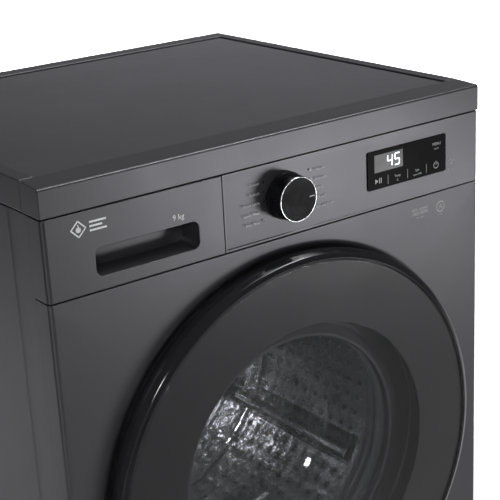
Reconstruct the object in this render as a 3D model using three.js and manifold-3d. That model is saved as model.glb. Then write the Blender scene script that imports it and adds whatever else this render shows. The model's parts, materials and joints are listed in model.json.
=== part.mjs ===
// A front-loading washing machine as an assembly of separate pieces, in millimetres, +Z up.
// The origin is on the floor, under the middle of the machine's box. The front looks along -Y.
// Inside the machine group, y is counted from the plane of the front panel, positive to the rear.
import * as THREE from "three";
import { mergeVertices } from "three/addons/utils/BufferGeometryUtils.js";
import Module from "manifold-3d";

const wasm = await Module();
wasm.setup();

// ---- Overall size ----
const width = 600;
const height = 850;
const depth = 565; // from the door's glass to the rear edge of the cabinet
const doorProud = 28; // the door's glass in front of the front panel

// ---- Cabinet ----
const sheet = 1.2; // sheet steel
const fit = 0.4; // clearance between two pieces that touch
const seam = 1.6; // open line between two visible panels
const wrapDepth = 27.5; // how far the front pieces wrap round the sides
const cornerRadius = 5; // vertical front corners
const footHeight = 24; // floor to the underside of the base
const lidHeight = 33; // top frame
const lidDrop = 2; // the lid's front edge below its rim
const lidStrip = 37; // depth of the sloping strip along the lid's front
const rimSide = 17; // width of the lid's side rims
const rimRear = 28; // width of the lid's rear rim
const rimLedge = 12; // ledge of the rim that carries the board
const boardDrop = 2.4; // the board's face below the rim
const boardThick = 15;
const controlHeight = 88; // control panel
const lowerCoverHeight = 94; // plinth cover with the filter flap
const creaseY = 68; // step along the side panels, behind the front wrap
const creaseStep = 0.8;
const sideFlange = 24; // rear return of the side panels
const sideLip = 8; // front return of the side panels
const rearInset = 7; // the rear frame in from the rear edge
const railHeight = 16; // rails of the upper frame
const railY = 335; // rail that the suspension springs hang from
const railWidth = 20;
const baseWall = 34; // height of the base pan's walls
const basePlate = 2;

// ---- Door ----
const dishSideMargin = 32; // cabinet side to the edge of the door's dish
const dishEndMargin = 30;
const dishTopMargin = 9.4; // control panel to the edge of the dish
const dishDepth = 16;
const dishSlope = 23; // width of the sloping edge of the dish
const ringProud = 7; // the dish's edge outside the door's widest ring
const glassLap = 12; // the ring outside the cover glass
const glassThick = 3.8;
const windowRadius = 150; // clear window of the door
const bowlDepth = 98; // the bowl behind its flange
const bowlWall = 4;
const mouthRadius = 186; // hole of the front panel
const hingePinRadius = 2.8;
const hingeBarrelRadius = 5.5;
const hingeBarrelHalf = 20;
const hingeArmHeight = 11.5;
const hingeSetback = 14; // hinge pin in front of the front plane
const hingeInset = 9; // hinge pin in from the ring's widest edge
const hookRadius = 215; // latch hook from the door's centre
const hookReach = 21;

// ---- Controls ----
const dividerX = 216; // the drawer's front, counted from the left side
const displayWide = 125;
const displayTall = 46;
const displayRight = 55; // display to the right side of the machine
const displayDrop = 50.7; // display to the lid's front edge
const fasciaThick = 3;
const knobDrop = 72.5; // knob axis to the lid's front edge
const knobRadius = 27;
const knobFaceRadius = 25;
const knobProud = 23;
const shaftRadius = 3;
const boardInset = 10; // control board to the end of its panel

// ---- Dispenser ----
const gripLeft = 57; // grip recess, counted from the left side
const gripWide = 126;
const gripTall = 30.5;
const gripDrop = 74; // grip recess to the lid's front edge
const gripDeep = 34;
const gripRadius = 8;
const housingFront = 36;
const housingDepth = 264;
const housingWall = 2;
const housingSide = 10; // housing to the side of the machine
const housingRight = 8; // housing to the end of the drawer's front
const trayGap = 2; // tray inside its housing
const trayRear = 12; // free length behind the tray

// ---- Wash unit ----
const tubSideMargin = 38; // tub to the cabinet's side
const tubTopMargin = 15.7; // tub to the control panel's lower edge
const tubWall = 3;
const tubFrontY = 66;
const tubRearGap = 91; // rear wall of the tub to the cabinet's rear edge
const tubFlange = 6;
const tubSplit = 168; // joint of the two tub halves behind the tub's front
const drumGap = 19; // between the drum and the tub
const drumSheet = 1.5;
const drumMouth = 195;
const drumFrontGap = 20; // drum behind the tub's front
const drumRearGap = 74; // drum's back to the tub's rear wall
const lifterTall = 48;
const lifterWide = 44;
const shaftBig = 20;
const shaftSmall = 17.5;
const bearingBig = 40;
const bearingSmall = 31;
const bearingWide = 18;
const statorRadius = 126;
const statorBore = 58;
const statorWide = 28;
const rotorGap = 4;
const rotorWall = 6;
const springX = 225;
const springRise = 190; // lower end of the springs above the drum's axis
const springRadius = 14;
const springWire = 2.2;
const springTurns = 8;
const damperX = 168;
const damperY = 212;
const damperRadius = 16;
const rodRadius = 6;
const lugThick = 8;

// ---- Pump and rear fittings ----
const pumpInset = 140; // pump and filter flap, counted from the right side
const pumpZ = 71;
const pumpRadius = 33;
const pumpLength = 84;
const sumpY = 98;
const sumpRadius = 21;
const flapWide = 112;
const flapTall = 72;
const flapThick = 2.5;
const flapGap = 1;
const footInset = 58;
const openingInset = 100; // opening of the rear frame to the cabinet's side
const coverDrop = 8; // rear cover below the control panel's lower edge
const coverRise = 78; // rear cover above the base pan
const coverLap = 12; // rear cover outside its opening
const valvePort = 13; // outer radius of the water inlet's thread
const valveX = -120;
const valveDrop = 44; // water inlet below the lid
const glandRadius = 9;
const outletRadius = 13;
const glandInset = 52;
const glandRise = 44; // cable gland and drain outlet above the base pan
const footPad = 22;
const footStem = 5;

// ---- Worked out from the sizes above ----
const half = width / 2;
const cabinetDepth = depth - doorProud;
const frontEdgeZ = height - lidDrop;
const lidZ = height - lidHeight;
const controlTop = lidZ - seam;
const controlZ = lidZ - controlHeight;
const panelTop = controlZ - seam;
const coverTop = footHeight + lowerCoverHeight;
const panelZ = coverTop + seam;
const dishRadius = Math.min(half - dishSideMargin, (panelTop - panelZ) / 2 - dishEndMargin);
const axisZ = panelTop - dishTopMargin - dishRadius;
const ringRadius = dishRadius - ringProud;
const glassRadius = ringRadius - glassLap;
const ringBackRadius = ringRadius - 15;
const floorRadius = dishRadius - dishSlope;
const tubRadius = Math.min(half - tubSideMargin, controlZ - axisZ - tubTopMargin);
const tubRearY = cabinetDepth - tubRearGap;
const tubJoint = tubFrontY + tubSplit;
const drumRadius = tubRadius - tubWall - drumGap;
const drumFrontY = tubFrontY + drumFrontGap;
const drumRearY = tubRearY - drumRearGap;
const mouth = Math.min(mouthRadius, floorRadius - 50);
const windowR = Math.min(windowRadius, mouth - 36);
const drumOpening = Math.min(drumMouth, drumRadius - 40);
const innerX = half - creaseStep - sheet - fit;
const knobZ = frontEdgeZ - knobDrop;
const pumpX = half - pumpInset;
const railZ = lidZ - 2 - railHeight;
const rearPlateY = cabinetDepth - rearInset;
const panTopZ = footHeight + baseWall;
const openingX = half - openingInset;
const coverZ0 = panTopZ + coverRise;
const coverZ1 = controlZ - coverDrop;
const valveZ = lidZ - valveDrop;
const glandX = half - glandInset;
const glandZ = panTopZ + glandRise;

// ---- Geometry helpers ----
const facets = 32; // sides of the large round pieces
const doorFacets = 40;

function solid(geometry) {
  const g = geometry.clone();
  g.deleteAttribute("normal");
  g.deleteAttribute("uv");
  const merged = mergeVertices(g, 1e-3);
  const faces = new Uint32Array(merged.index.array);
  const body = (triVerts) =>
    new wasm.Manifold(
      new wasm.Mesh({ numProp: 3, vertProperties: merged.attributes.position.array, triVerts }),
    );
  const made = body(faces);
  if (made.volume() > 0) return made;
  return body(faces.reverse());
}

const join = (first, ...rest) => rest.reduce((a, b) => a.add(b), first);
const cut = (first, ...rest) => rest.reduce((a, b) => a.subtract(b), first);

function box(x0, x1, y0, y1, z0, z1) {
  const g = new THREE.BoxGeometry(x1 - x0, y1 - y0, z1 - z0);
  return solid(g.translate((x0 + x1) / 2, (y0 + y1) / 2, (z0 + z1) / 2));
}

function outline(points) {
  return new THREE.Shape(points.map(([a, b]) => new THREE.Vector2(a, b)));
}

function roundedRect(a0, a1, b0, b1, r) {
  const s = new THREE.Shape();
  s.absarc(a1 - r, b0 + r, r, -Math.PI / 2, 0);
  s.absarc(a1 - r, b1 - r, r, 0, Math.PI / 2);
  s.absarc(a0 + r, b1 - r, r, Math.PI / 2, Math.PI);
  s.absarc(a0 + r, b0 + r, r, Math.PI, Math.PI * 1.5);
  return s;
}

function extruded(shape, length, steps = 3) {
  return new THREE.ExtrudeGeometry(shape, { depth: length, bevelEnabled: false, curveSegments: steps });
}

// An outline in X and Y, standing from z0 to z1.
const prismZ = (shape, z0, z1, steps) => solid(extruded(shape, z1 - z0, steps).translate(0, 0, z0));

// An outline in X and Z, running from y0 to y1.
const prismY = (shape, y0, y1, steps) =>
  solid(extruded(shape, y1 - y0, steps).rotateX(Math.PI / 2).translate(0, y1, 0));

// An outline in Y and Z, running from x0 to x1.
function prismX(shape, x0, x1, steps) {
  const turn = new THREE.Matrix4().makeBasis(
    new THREE.Vector3(0, 1, 0),
    new THREE.Vector3(0, 0, 1),
    new THREE.Vector3(1, 0, 0),
  );
  return solid(extruded(shape, x1 - x0, steps).applyMatrix4(turn).translate(x0, 0, 0));
}

// A closed profile of [radius, y] turned about the Y axis through x and z.
function latheY(points, segments = facets, x = 0, z = 0) {
  const profile = [...points, points[0]].map(([r, y]) => new THREE.Vector2(r, y));
  const open = points[0][0] === 0;
  return solid(new THREE.LatheGeometry(open ? profile.slice(0, -1) : profile, segments).translate(x, 0, z));
}

// A closed profile of [radius, z] turned about the Z axis through x and y.
function latheZ(points, segments = 20, x = 0, y = 0) {
  const profile = [...points, points[0]].map(([r, z]) => new THREE.Vector2(r, z));
  const open = points[0][0] === 0;
  const g = new THREE.LatheGeometry(open ? profile.slice(0, -1) : profile, segments);
  return solid(g.rotateX(Math.PI / 2).translate(x, y, 0));
}

const rodY = (r, y0, y1, x = 0, z = 0, segments = r > 100 ? facets : 20) =>
  latheY([[0, y0], [r, y0], [r, y1], [0, y1]], segments, x, z);
const rodZ = (r, z0, z1, x = 0, y = 0, segments = 20) =>
  latheZ([[0, z0], [r, z0], [r, z1], [0, z1]], segments, x, y);

// The outline of a band of the given thickness along a run of points.
function band(points, thick) {
  const normal = (p, q) => {
    const length = Math.hypot(q[0] - p[0], q[1] - p[1]);
    return [-(q[1] - p[1]) / length, (q[0] - p[0]) / length];
  };
  const side = (sign) =>
    points.map((p, i) => {
      const a = normal(points[Math.max(i - 1, 0)], points[Math.max(i, 1)]);
      const b = normal(points[Math.min(i, points.length - 2)], points[Math.min(i + 1, points.length - 1)]);
      const scale = (sign * thick) / 2 / (1 + a[0] * b[0] + a[1] * b[1]);
      return [p[0] + (a[0] + b[0]) * scale, p[1] + (a[1] + b[1]) * scale];
    });
  return [...side(1), ...side(-1).reverse()];
}

// A tube along a path, as one closed solid.
function tube(points, radius, sides = 6, steps = 60, curve = new THREE.CatmullRomCurve3(points)) {
  const section = new THREE.Shape();
  section.absarc(0, 0, radius, 0, Math.PI * 2);
  return solid(
    new THREE.ExtrudeGeometry(section, { steps, curveSegments: sides / 2, extrudePath: curve }),
  );
}

function paint(color, roughness, metalness) {
  return () => new THREE.MeshStandardMaterial({ color, roughness, metalness });
}

const finish = {
  shell: paint(0x46454b, 0.42, 0.55),
  fascia: paint(0x4a494f, 0.4, 0.45),
  board: paint(0x2c2b30, 0.7, 0),
  gloss: paint(0x101012, 0.12, 0),
  glass: paint(0x1b1b1e, 0.05, 0),
  chrome: paint(0xd0d2d6, 0.15, 1),
  steel: paint(0xa9abae, 0.3, 1),
  zinc: paint(0x8f9296, 0.5, 0.9),
  plastic: paint(0xc9ccd0, 0.55, 0),
  polymer: paint(0x9a9da1, 0.6, 0),
  dark: paint(0x222226, 0.6, 0),
  rubber: paint(0x55575b, 0.75, 0),
  concrete: paint(0x8d8a84, 0.95, 0),
  copper: paint(0xa05a32, 0.4, 0.8),
  circuit: paint(0x1f5a3a, 0.6, 0),
};

const machine = new THREE.Group();
machine.position.y = doorProud - depth / 2;

function add(parent, name, made, material) {
  const m = made.getMesh();
  const g = new THREE.BufferGeometry();
  g.setAttribute("position", new THREE.BufferAttribute(new Float32Array(m.vertProperties), 3));
  g.setIndex(new THREE.BufferAttribute(new Uint32Array(m.triVerts), 1));
  g.computeVertexNormals();
  const mesh = new THREE.Mesh(g, material());
  mesh.name = name;
  parent.add(mesh);
  return mesh;
}

// ---- Cabinet pieces ----
// A front piece: a plate across the front whose ends wrap round the sides of the machine.
function wrapped(x0, x1, z0, z1, thick, wrapLeft, wrapRight) {
  const r = cornerRadius;
  const back = wrapDepth;
  const s = new THREE.Shape();
  if (wrapLeft) {
    s.moveTo(x0, back);
    s.lineTo(x0, r);
    s.absarc(x0 + r, r, r, Math.PI, Math.PI * 1.5);
  } else s.moveTo(x0, 0);
  if (wrapRight) {
    s.absarc(x1 - r, r, r, -Math.PI / 2, 0);
    s.lineTo(x1, back);
    s.lineTo(x1 - thick, back);
    s.absarc(x1 - r, r, r - thick, 0, -Math.PI / 2, true);
  } else {
    s.lineTo(x1, 0);
    s.lineTo(x1, thick);
  }
  if (wrapLeft) {
    s.absarc(x0 + r, r, r - thick, Math.PI * 1.5, Math.PI, true);
    s.lineTo(x0 + thick, back);
  } else s.lineTo(x0, thick);
  return prismZ(s, z0, z1, 4);
}

function sidePanel(side) {
  const y0 = wrapDepth + seam;
  const front = half - creaseStep;
  const points = [
    [front, y0],
    [front, creaseY],
    [half, creaseY + 3],
    [half, cabinetDepth],
    [half - sideFlange, cabinetDepth],
    [half - sideFlange, cabinetDepth - sheet],
    [half - sheet, cabinetDepth - sheet],
    [half - sheet, creaseY + 3],
    [front - sheet, creaseY],
    [front - sheet, y0 + sheet],
    [half - sideLip, y0 + sheet],
    [half - sideLip, y0],
  ].map(([x, y]) => [side * x, y]);
  return prismZ(outline(points), footHeight, lidZ - seam);
}

function rearFrame() {
  const x = half - sideFlange - fit;
  const z0 = panTopZ + fit + 4;
  const z1 = lidZ - seam;
  const holeZ0 = coverZ0 + coverLap;
  const holeZ1 = coverZ1 - coverLap;
  const opening = roundedRect(-openingX, openingX, holeZ0, holeZ1, 20);
  const collar = roundedRect(-openingX - sheet, openingX + sheet, holeZ0 - sheet, holeZ1 + sheet, 21);
  const plate = prismY(roundedRect(-x, x, z0, z1, 3), rearPlateY, rearPlateY + sheet, 3);
  const lip = cut(
    prismY(collar, rearPlateY - 10, rearPlateY + 0.5),
    prismY(opening, rearPlateY - 12, rearPlateY + 3),
  );
  const edges = [-1, 1].map((s) =>
    box(s > 0 ? x - sheet : -x, s > 0 ? x : sheet - x, rearPlateY - 14, rearPlateY + 0.5, z0, z1),
  );
  return cut(
    join(plate, lip, ...edges),
    prismY(opening, rearPlateY - 12, rearPlateY + 3),
    rodY(valvePort + fit, rearPlateY - 3, rearPlateY + 3, valveX, valveZ),
    rodY(glandRadius + fit, rearPlateY - 3, rearPlateY + 3, -glandX, glandZ),
    rodY(outletRadius + fit, rearPlateY - 3, rearPlateY + 3, glandX, glandZ),
  );
}

function backCover() {
  const y0 = rearPlateY + sheet + fit;
  const boss = Math.min(statorRadius + 24, openingX - 30);
  const x = openingX + coverLap;
  const plate = prismY(roundedRect(-x, x, coverZ0, coverZ1, 12), y0, y0 + sheet, 4);
  const dome = latheY(band([[boss, y0 + sheet / 2], [boss - 7, y0 + 4], [46, y0 + 4], [36, y0 + 0.8]], sheet),
    facets, 0, axisZ);
  const slots = [];
  for (let i = 0; i < 6; i++) {
    const z = coverZ0 + 26 + i * 9;
    slots.push(box(-60, 60, y0 - 2, y0 + 4, z, z + 4));
  }
  return join(cut(plate, rodY(boss - 0.6, y0 - 1, y0 + 5, 0, axisZ), ...slots), dome,
    rodY(37, y0, y0 + sheet, 0, axisZ, facets));
}

function basePan() {
  const x = innerX;
  const y0 = wrapDepth + seam + sheet + fit;
  const y1 = rearPlateY - 15;
  const z1 = panTopZ;
  const pan = cut(
    box(-x, x, y0, y1, footHeight, z1),
    box(-x + 2, x - 2, y0 + 2, y1 - 2, footHeight + basePlate, z1 + 1),
  );
  const bosses = feet.map(([fx, fy]) => rodZ(footStem + 9, footHeight, footHeight + 16, fx, fy, 14));
  const bores = feet.map(([fx, fy]) => rodZ(footStem + fit, footHeight - 1, z1, fx, fy, 12));
  const filterHalf = pumpRadius + 4;
  const filterWay = box(pumpX - filterHalf, pumpX + filterHalf, y0 - 1, y0 + 3, footHeight + 4, z1 + 1);
  return cut(join(pan, ...bosses), ...bores, filterWay);
}

const feet = [
  [-(half - footInset), footInset + 12],
  [half - footInset, footInset + 12],
  [-(half - footInset), cabinetDepth - footInset - 12],
  [half - footInset, cabinetDepth - footInset - 12],
];

function foot() {
  const pad = latheZ([[0, 0], [footPad - 3, 0], [footPad, 2], [footPad, 8], [footPad - 6, 12], [0, 12]], 20);
  const nut = latheZ([[0, 11], [9.5, 11], [9.5, 18], [0, 18]], 6);
  return join(pad, nut, rodZ(footStem, 11, footHeight + 26, 0, 0, 12));
}

function upperFrame() {
  const x = innerX;
  const z1 = railZ + railHeight;
  const rear = railY + railWidth / 2;
  const front = 40;
  return join(
    box(-x, x, front, front + 18, railZ, z1),
    box(-x, x, rear - railWidth, rear, railZ, z1),
    box(-x, -x + 12, front, rearPlateY - 16, railZ, z1),
    box(x - 12, x, front, rearPlateY - 16, railZ, z1),
  );
}

function frontPanel() {
  const t = sheet / 2;
  const d = dishDepth + t;
  const profile = band([
    [dishRadius + 0.6, t],
    [dishRadius - 6, t + 1.2],
    [floorRadius + 6, dishDepth - 2.4],
    [floorRadius - 1, d],
    [mouth + t, d],
  ], sheet);
  const wall = wrapped(-half, half, panelZ, panelTop, sheet, true, true);
  const ends = [panelZ, panelTop - sheet].map((z) =>
    box(-half + 6, half - 6, sheet / 2, 14, z, z + sheet),
  );
  const slot = box(hookX - 12, hookX + 14, dishDepth - 2, dishDepth + 4, axisZ - 10, axisZ + 17);
  return cut(
    join(
      cut(join(wall, ...ends), rodY(dishRadius - 0.2, -1, 16, 0, axisZ, doorFacets)),
      latheY(profile, doorFacets, 0, axisZ),
    ),
    slot,
  );
}

const hookX = Math.min(hookRadius, (mouth + ringBackRadius) / 2);

function lowerCover() {
  const wall = wrapped(-half, half, footHeight, coverTop, sheet, true, true);
  const lip = box(-half + 6, half - 6, sheet / 2, 14, coverTop - sheet, coverTop);
  const holeX1 = flapX0 + flapWide + flapGap;
  const holeZ1 = flapZ0 + flapTall + flapGap;
  const hole = box(flapX0 - flapGap, holeX1, -1, 4, flapZ0 - flapGap, holeZ1);
  return cut(join(wall, lip), hole);
}

const flapX0 = pumpX - flapWide / 2;
const flapZ0 = pumpZ - flapTall / 2;

function filterFlap() {
  const face = roundedRect(flapX0, flapX0 + flapWide, flapZ0, flapZ0 + flapTall, 1.5);
  const plate = prismY(face, 0, flapThick, 3);
  const catchRib = box(flapX0 + flapWide - 12, flapX0 + flapWide - 9, flapThick - 0.5, flapThick + 5,
    pumpZ - 9, pumpZ + 9);
  return join(plate, catchRib);
}

function lidFront() {
  const z = frontEdgeZ;
  const t = 2.5;
  const skin = outline([
    [0, lidZ], [0, z - 3], [1, z - 0.9], [3, z], [lidStrip, height - 0.2], [lidStrip, lidZ],
  ]);
  const inside = outline([[t, lidZ - 1], [t, z - 4], [4, z - t], [lidStrip - t, height - t - 0.4],
    [lidStrip - t, lidZ - 1]]);
  return cut(prismX(skin, -half, half), prismX(inside, -half + t, half - t));
}

function topRim() {
  const y0 = lidStrip + fit;
  const outer = box(-half, half, y0, cabinetDepth, lidZ, height);
  const inner = box(-half + rimSide, half - rimSide, y0 - 1, cabinetDepth - rimRear, lidZ - 1, height + 1);
  const ledge = cut(
    box(-half + 2, half - 2, y0, cabinetDepth - 2, lidZ, boardZ - fit),
    box(-half + rimSide + rimLedge, half - rimSide - rimLedge, y0 - 1, cabinetDepth - rimRear - rimLedge,
      lidZ - 1, height),
  );
  return join(cut(outer, inner), ledge);
}

const boardZ = height - boardDrop - boardThick;

function topBoard() {
  return box(-half + rimSide + fit, half - rimSide - fit, lidStrip + fit, cabinetDepth - rimRear - fit,
    boardZ, height - boardDrop);
}

// ---- Controls ----
const fasciaX0 = -half + dividerX + seam / 2;
const displayX1 = half - displayRight;
const displayX0 = displayX1 - displayWide;
const displayZ1 = frontEdgeZ - displayDrop + 1;
const displayZ0 = displayZ1 - displayTall;
const windowThick = 1.3;

function controlPanel() {
  const plate = wrapped(fasciaX0, half, controlZ, controlTop, fasciaThick, false, true);
  const lips = [controlZ, controlTop - 2].map((z) => box(fasciaX0, half - 6, 1, 24, z, z + 2));
  const post = box(fasciaX0, fasciaX0 + 2, 1, 24, controlZ, controlTop);
  const seat = prismY(roundedRect(displayX0 - fit, displayX1 + fit, displayZ0 - fit, displayZ1 + fit, 3),
    -1, windowThick + fit, 3);
  const opening = box(displayX0 + 4, displayX1 - 4, -1, 5, displayZ0 + 4, displayZ1 - 4);
  return cut(join(plate, ...lips, post), seat, opening, rodY(10, -1, 5, 0, knobZ));
}

function displayWindow() {
  return prismY(roundedRect(displayX0, displayX1, displayZ0, displayZ1, 2.6), 0, windowThick, 3);
}

function controlBoard() {
  const card = box(fasciaX0 + boardInset, displayX1 + 8, 15, 17, controlZ + 10, controlTop - 10);
  const module = box(displayX0 + 8, displayX1 - 8, fasciaThick + 1, 15.5, displayZ0 + 5, displayZ1 - 5);
  const encoder = box(-11, 11, fasciaThick + 1.5, 15.5, knobZ - 11, knobZ + 11);
  const coils = box(60, 92, 16.5, 34, controlZ + 20, controlTop - 22);
  return join(card, module, encoder, coils, rodY(shaftRadius, -knobProud + 8, 6, 0, knobZ, 16));
}

function knob() {
  const f = -knobProud;
  const k = knobFaceRadius;
  return latheY([
    [0, f + 1.6], [k - 2.6, f + 1.6], [k - 2.2, f], [k - 0.8, f], [k, f + 1],
    [knobRadius - 0.8, -4], [knobRadius, -3], [knobRadius, -0.6],
    [knobRadius - 3, -0.6], [knobRadius - 3.5, -4], [shaftRadius + 5, -4], [shaftRadius + 4, -1],
    [shaftRadius + fit, -1], [shaftRadius + fit, f + 7], [0, f + 7],
  ], 28, 0, knobZ);
}

// ---- Dispenser ----
const drawerX0 = -half;
const drawerX1 = -half + dividerX - seam / 2;
const housingX0 = -half + housingSide;
const housingX1 = drawerX1 - housingRight;
const housingZ0 = controlZ + 4;
const housingZ1 = railZ - fit - 1;
const gripX0 = -half + gripLeft;
const gripZ1 = frontEdgeZ - gripDrop;

function dispenserHousing() {
  const w = housingWall;
  const y1 = housingFront + housingDepth;
  const shell = cut(
    box(housingX0, housingX1, housingFront, y1, housingZ0, housingZ1),
    box(housingX0 + w, housingX1 - w, housingFront - 1, y1 - w, housingZ0 + w, housingZ1 - w),
  );
  const x = (housingX0 + housingX1) / 2;
  const spout = cut(
    rodZ(17, housingZ0 - 26, housingZ0 + 1, x, y1 - 40),
    rodZ(14, housingZ0 - 27, housingZ0 + 4, x, y1 - 40),
  );
  return cut(join(shell, spout), rodZ(14, housingZ0 - 1, housingZ0 + 3, x, y1 - 40));
}

function detergentDrawer() {
  const w = housingWall;
  const x0 = housingX0 + w + trayGap;
  const x1 = housingX1 - w - trayGap;
  const y0 = gripDeep + 4;
  const y1 = housingFront + housingDepth - trayRear;
  const z0 = housingZ0 + w + trayGap;
  const z1 = housingZ1 - w - trayGap - 5;
  const third = (x1 - x0) / 3;
  const pocket = (a, b, c, d) => box(a, b, c, d, z0 + w, z1 + 1);
  return cut(
    box(x0, x1, y0, y1, z0, z1),
    pocket(x0 + w, x0 + third - w / 2, y0 + w, y1 - w),
    pocket(x0 + third + w / 2, x1 - third - w / 2, y0 + w, y1 - w),
    pocket(x1 - third + w / 2, x1 - w, y0 + w, y1 - w),
    box(x0 + third + w, x1 - third - w, y1 - w - 1, y1 + 1, z0 + w, z0 + 20),
  );
}

function drawerFront() {
  const w = 2;
  const gripX1 = gripX0 + gripWide;
  const gripZ0 = gripZ1 - gripTall;
  const plate = wrapped(drawerX0, drawerX1, controlZ, controlTop, fasciaThick, true, false);
  const rim = roundedRect(gripX0 - w, gripX1 + w, gripZ0 - w, gripZ1 + w, gripRadius + w);
  const cup = prismY(rim, 1, gripDeep + w, 4);
  const hollow = prismY(roundedRect(gripX0, gripX1, gripZ0, gripZ1, gripRadius), -1, gripDeep, 4);
  const lips = [controlZ, controlTop - 2].map((z) => box(drawerX0 + 6, drawerX1, 1, 24, z, z + 2));
  return cut(join(plate, cup, ...lips), hollow);
}

// ---- Door, counted from the door's centre on the front plane ----
const hingeX = -(ringRadius - hingeInset);
const hingeY = -hingeSetback;
const notchHalf = hingeBarrelHalf + hingeArmHeight + 2.5;
const fingerHalf = 52; // finger cut behind the ring's edge, half its height
const fingerDepth = 18;
const frameBack = 11;
const frameThick = 3;

function doorRing() {
  const R = ringRadius;
  const g = glassRadius;
  const front = -doorProud;
  const seat = front + glassThick + 0.3;
  const ring = latheY([
    [g + 0.5, front + 1.2], [g + 3.6, front + 0.7], [R - 4, front + 3], [R, front + 9], [R - 1, -9],
    [R - 10, 8], [ringBackRadius, dishDepth - 2.6], [ringBackRadius - 9, dishDepth - 2.6],
    [ringBackRadius - 9, frameBack + 0.4], [R - 12, -2], [R - 12, seat + 4], [g - 12, seat + 4],
    [g - 12, seat], [g + 0.5, seat],
  ], doorFacets);
  const hingeNotch = box(-R - 5, -R + 60, front + 5.5, dishDepth + 2, -notchHalf, notchHalf);
  const fingers = box(R - fingerDepth, R + 5, -9, dishDepth + 2, -fingerHalf, fingerHalf);
  return cut(ring, hingeNotch, fingers);
}

function coverGlass() {
  const g = glassRadius;
  const y = -doorProud;
  return latheY([[0, y], [g - 1.2, y], [g, y + 1.2], [g, y + glassThick], [0, y + glassThick]], doorFacets);
}

function innerFrame() {
  const R = ringBackRadius - 9.4;
  const plate = latheY([
    [windowR, frameBack], [windowR, frameBack - 8], [windowR + 3, frameBack - 8],
    [windowR + 3, frameBack - frameThick], [R, frameBack - frameThick], [R, frameBack],
  ]);
  const hookSlot = box(hookX - 5, hookX + 5, frameBack - 5, frameBack + 2, -9, 9);
  return cut(plate, hookSlot);
}

function doorBowl() {
  const y = frameBack + fit;
  const w = windowR;
  const end = y + bowlDepth;
  return latheY([
    [0, end], [w - 40, end - 5], [w - 27, end - 15], [w - 4, y + 16], [w, y + bowlWall + 1],
    [w + 20, y + bowlWall], [w + 20, y], [w - 3, y], [w - 8, y + 15], [w - 31, end - 17],
    [w - 42, end - 9], [0, end - bowlWall],
  ].reverse());
}

function hingeArm() {
  const z0 = hingeBarrelHalf + 0.5;
  const z1 = z0 + hingeArmHeight;
  const arms = [[z0, z1], [-z1, -z0]].map(([a, b]) =>
    join(
      rodZ(hingeBarrelRadius, a, b, hingeX, hingeY),
      box(hingeX, hingeX + 30, hingeY - 5, hingeY + 5, a, b),
    ),
  );
  const back = frameBack - frameThick - fit;
  const riser = box(hingeX + 24, hingeX + 30, hingeY - 5, back, -z1, z1);
  const plate = box(hingeX + 24, hingeX + 76, back - 3, back, -z1, z1);
  return cut(join(riser, plate, ...arms), rodZ(hingePinRadius + 0.3, -z1 - 1, z1 + 1, hingeX, hingeY));
}

function hingeBracket() {
  const y1 = dishDepth - 0.4;
  const foot = hingeX + 14;
  const web = prismZ(
    outline([[hingeX - 2.5, hingeY], [hingeX + 2.5, hingeY], [foot + 2.5, y1 - 2], [foot - 2.5, y1 - 2]]),
    -hingeBarrelHalf, hingeBarrelHalf,
  );
  const plate = box(foot - 3, hingeX + 46, y1 - 3, y1, -26, 26);
  const barrel = rodZ(hingeBarrelRadius, -hingeBarrelHalf, hingeBarrelHalf, hingeX, hingeY);
  return cut(join(barrel, web, plate),
    rodZ(hingePinRadius + 0.3, -hingeBarrelHalf - 1, hingeBarrelHalf + 1, hingeX, hingeY));
}

function hingePin() {
  const reach = hingeBarrelHalf + hingeArmHeight;
  return rodZ(hingePinRadius, -reach, reach, hingeX, hingeY, 16);
}

function doorHook() {
  const y0 = frameBack - frameThick;
  return join(
    box(hookX - 4, hookX + 4, y0, frameBack + hookReach, -7, 7),
    box(hookX - 4, hookX + 4, frameBack + hookReach - 6, frameBack + hookReach, -7, 12),
  );
}

function doorLock() {
  const y0 = dishDepth + sheet + fit + 0.4;
  const y1 = y0 + 30;
  const shell = box(hookX - 18, hookX + 20, y0, y1, -26, 30);
  const cavity = box(hookX - 12, hookX + 14, y0 - 1, y1 - 3, -13, 22);
  return cut(shell, cavity);
}

function doorGasket() {
  const y = dishDepth;
  const m = mouth;
  const w = windowR;
  return latheY(band([
    [m + 6, y - 1.9], [m - 2.4, y - 1.9], [m - 2.4, y + 7], [w + 6, y + 13], [w + 5, y + 18],
    [m - 6, y + 24], [m - 8, y + 31], [w + 12, y + 36], [m - 14, y + 41.5], [m - 10.6, tubFrontY + 4],
  ], 2.2));
}

// ---- Wash unit, counted from the drum's axis ----
const tubMouth = mouth - 8;

function tubFront() {
  const R = tubRadius;
  const t = tubWall;
  const y = tubFrontY;
  const shell = latheY([
    [tubMouth, y - 8], [tubMouth + t, y - 8], [tubMouth + t, y], [R - 10, y + 8], [R, y + 18],
    [R, tubJoint - tubFlange], [R + tubFlange, tubJoint - tubFlange], [R + tubFlange, tubJoint],
    [R - t, tubJoint], [R - t, y + 20], [R - 12, y + 11], [tubMouth, y + t],
  ]);
  const lugs = [-1, 1].map((s) => lug(s, damperX, damperY, -damperRise, 18));
  const spout = rodZ(sumpRadius - 4, -sumpDrop, 0, pumpX, sumpY);
  return join(shell, cut(join(spout, ...lugs), rodY(R - t + 0.5, y - 20, tubJoint + 5)));
}

// A bracket that stands out sideways from the tub's wall.
function lug(side, x, y, z, reach) {
  const wall = Math.sqrt(tubRadius ** 2 - z ** 2) - 14;
  const a = side * wall;
  const b = side * (x + reach);
  return box(Math.min(a, b), Math.max(a, b), y - 9, y + 9, z, z + lugThick);
}

const damperRise = Math.min(tubRadius * 0.8, 214);
const sumpDrop = Math.sqrt(tubRadius ** 2 - (pumpX - sumpRadius) ** 2) + 4;
const bearingFrontY = tubRearY - 38;
const hubEnd = tubRearY + 25;

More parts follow.
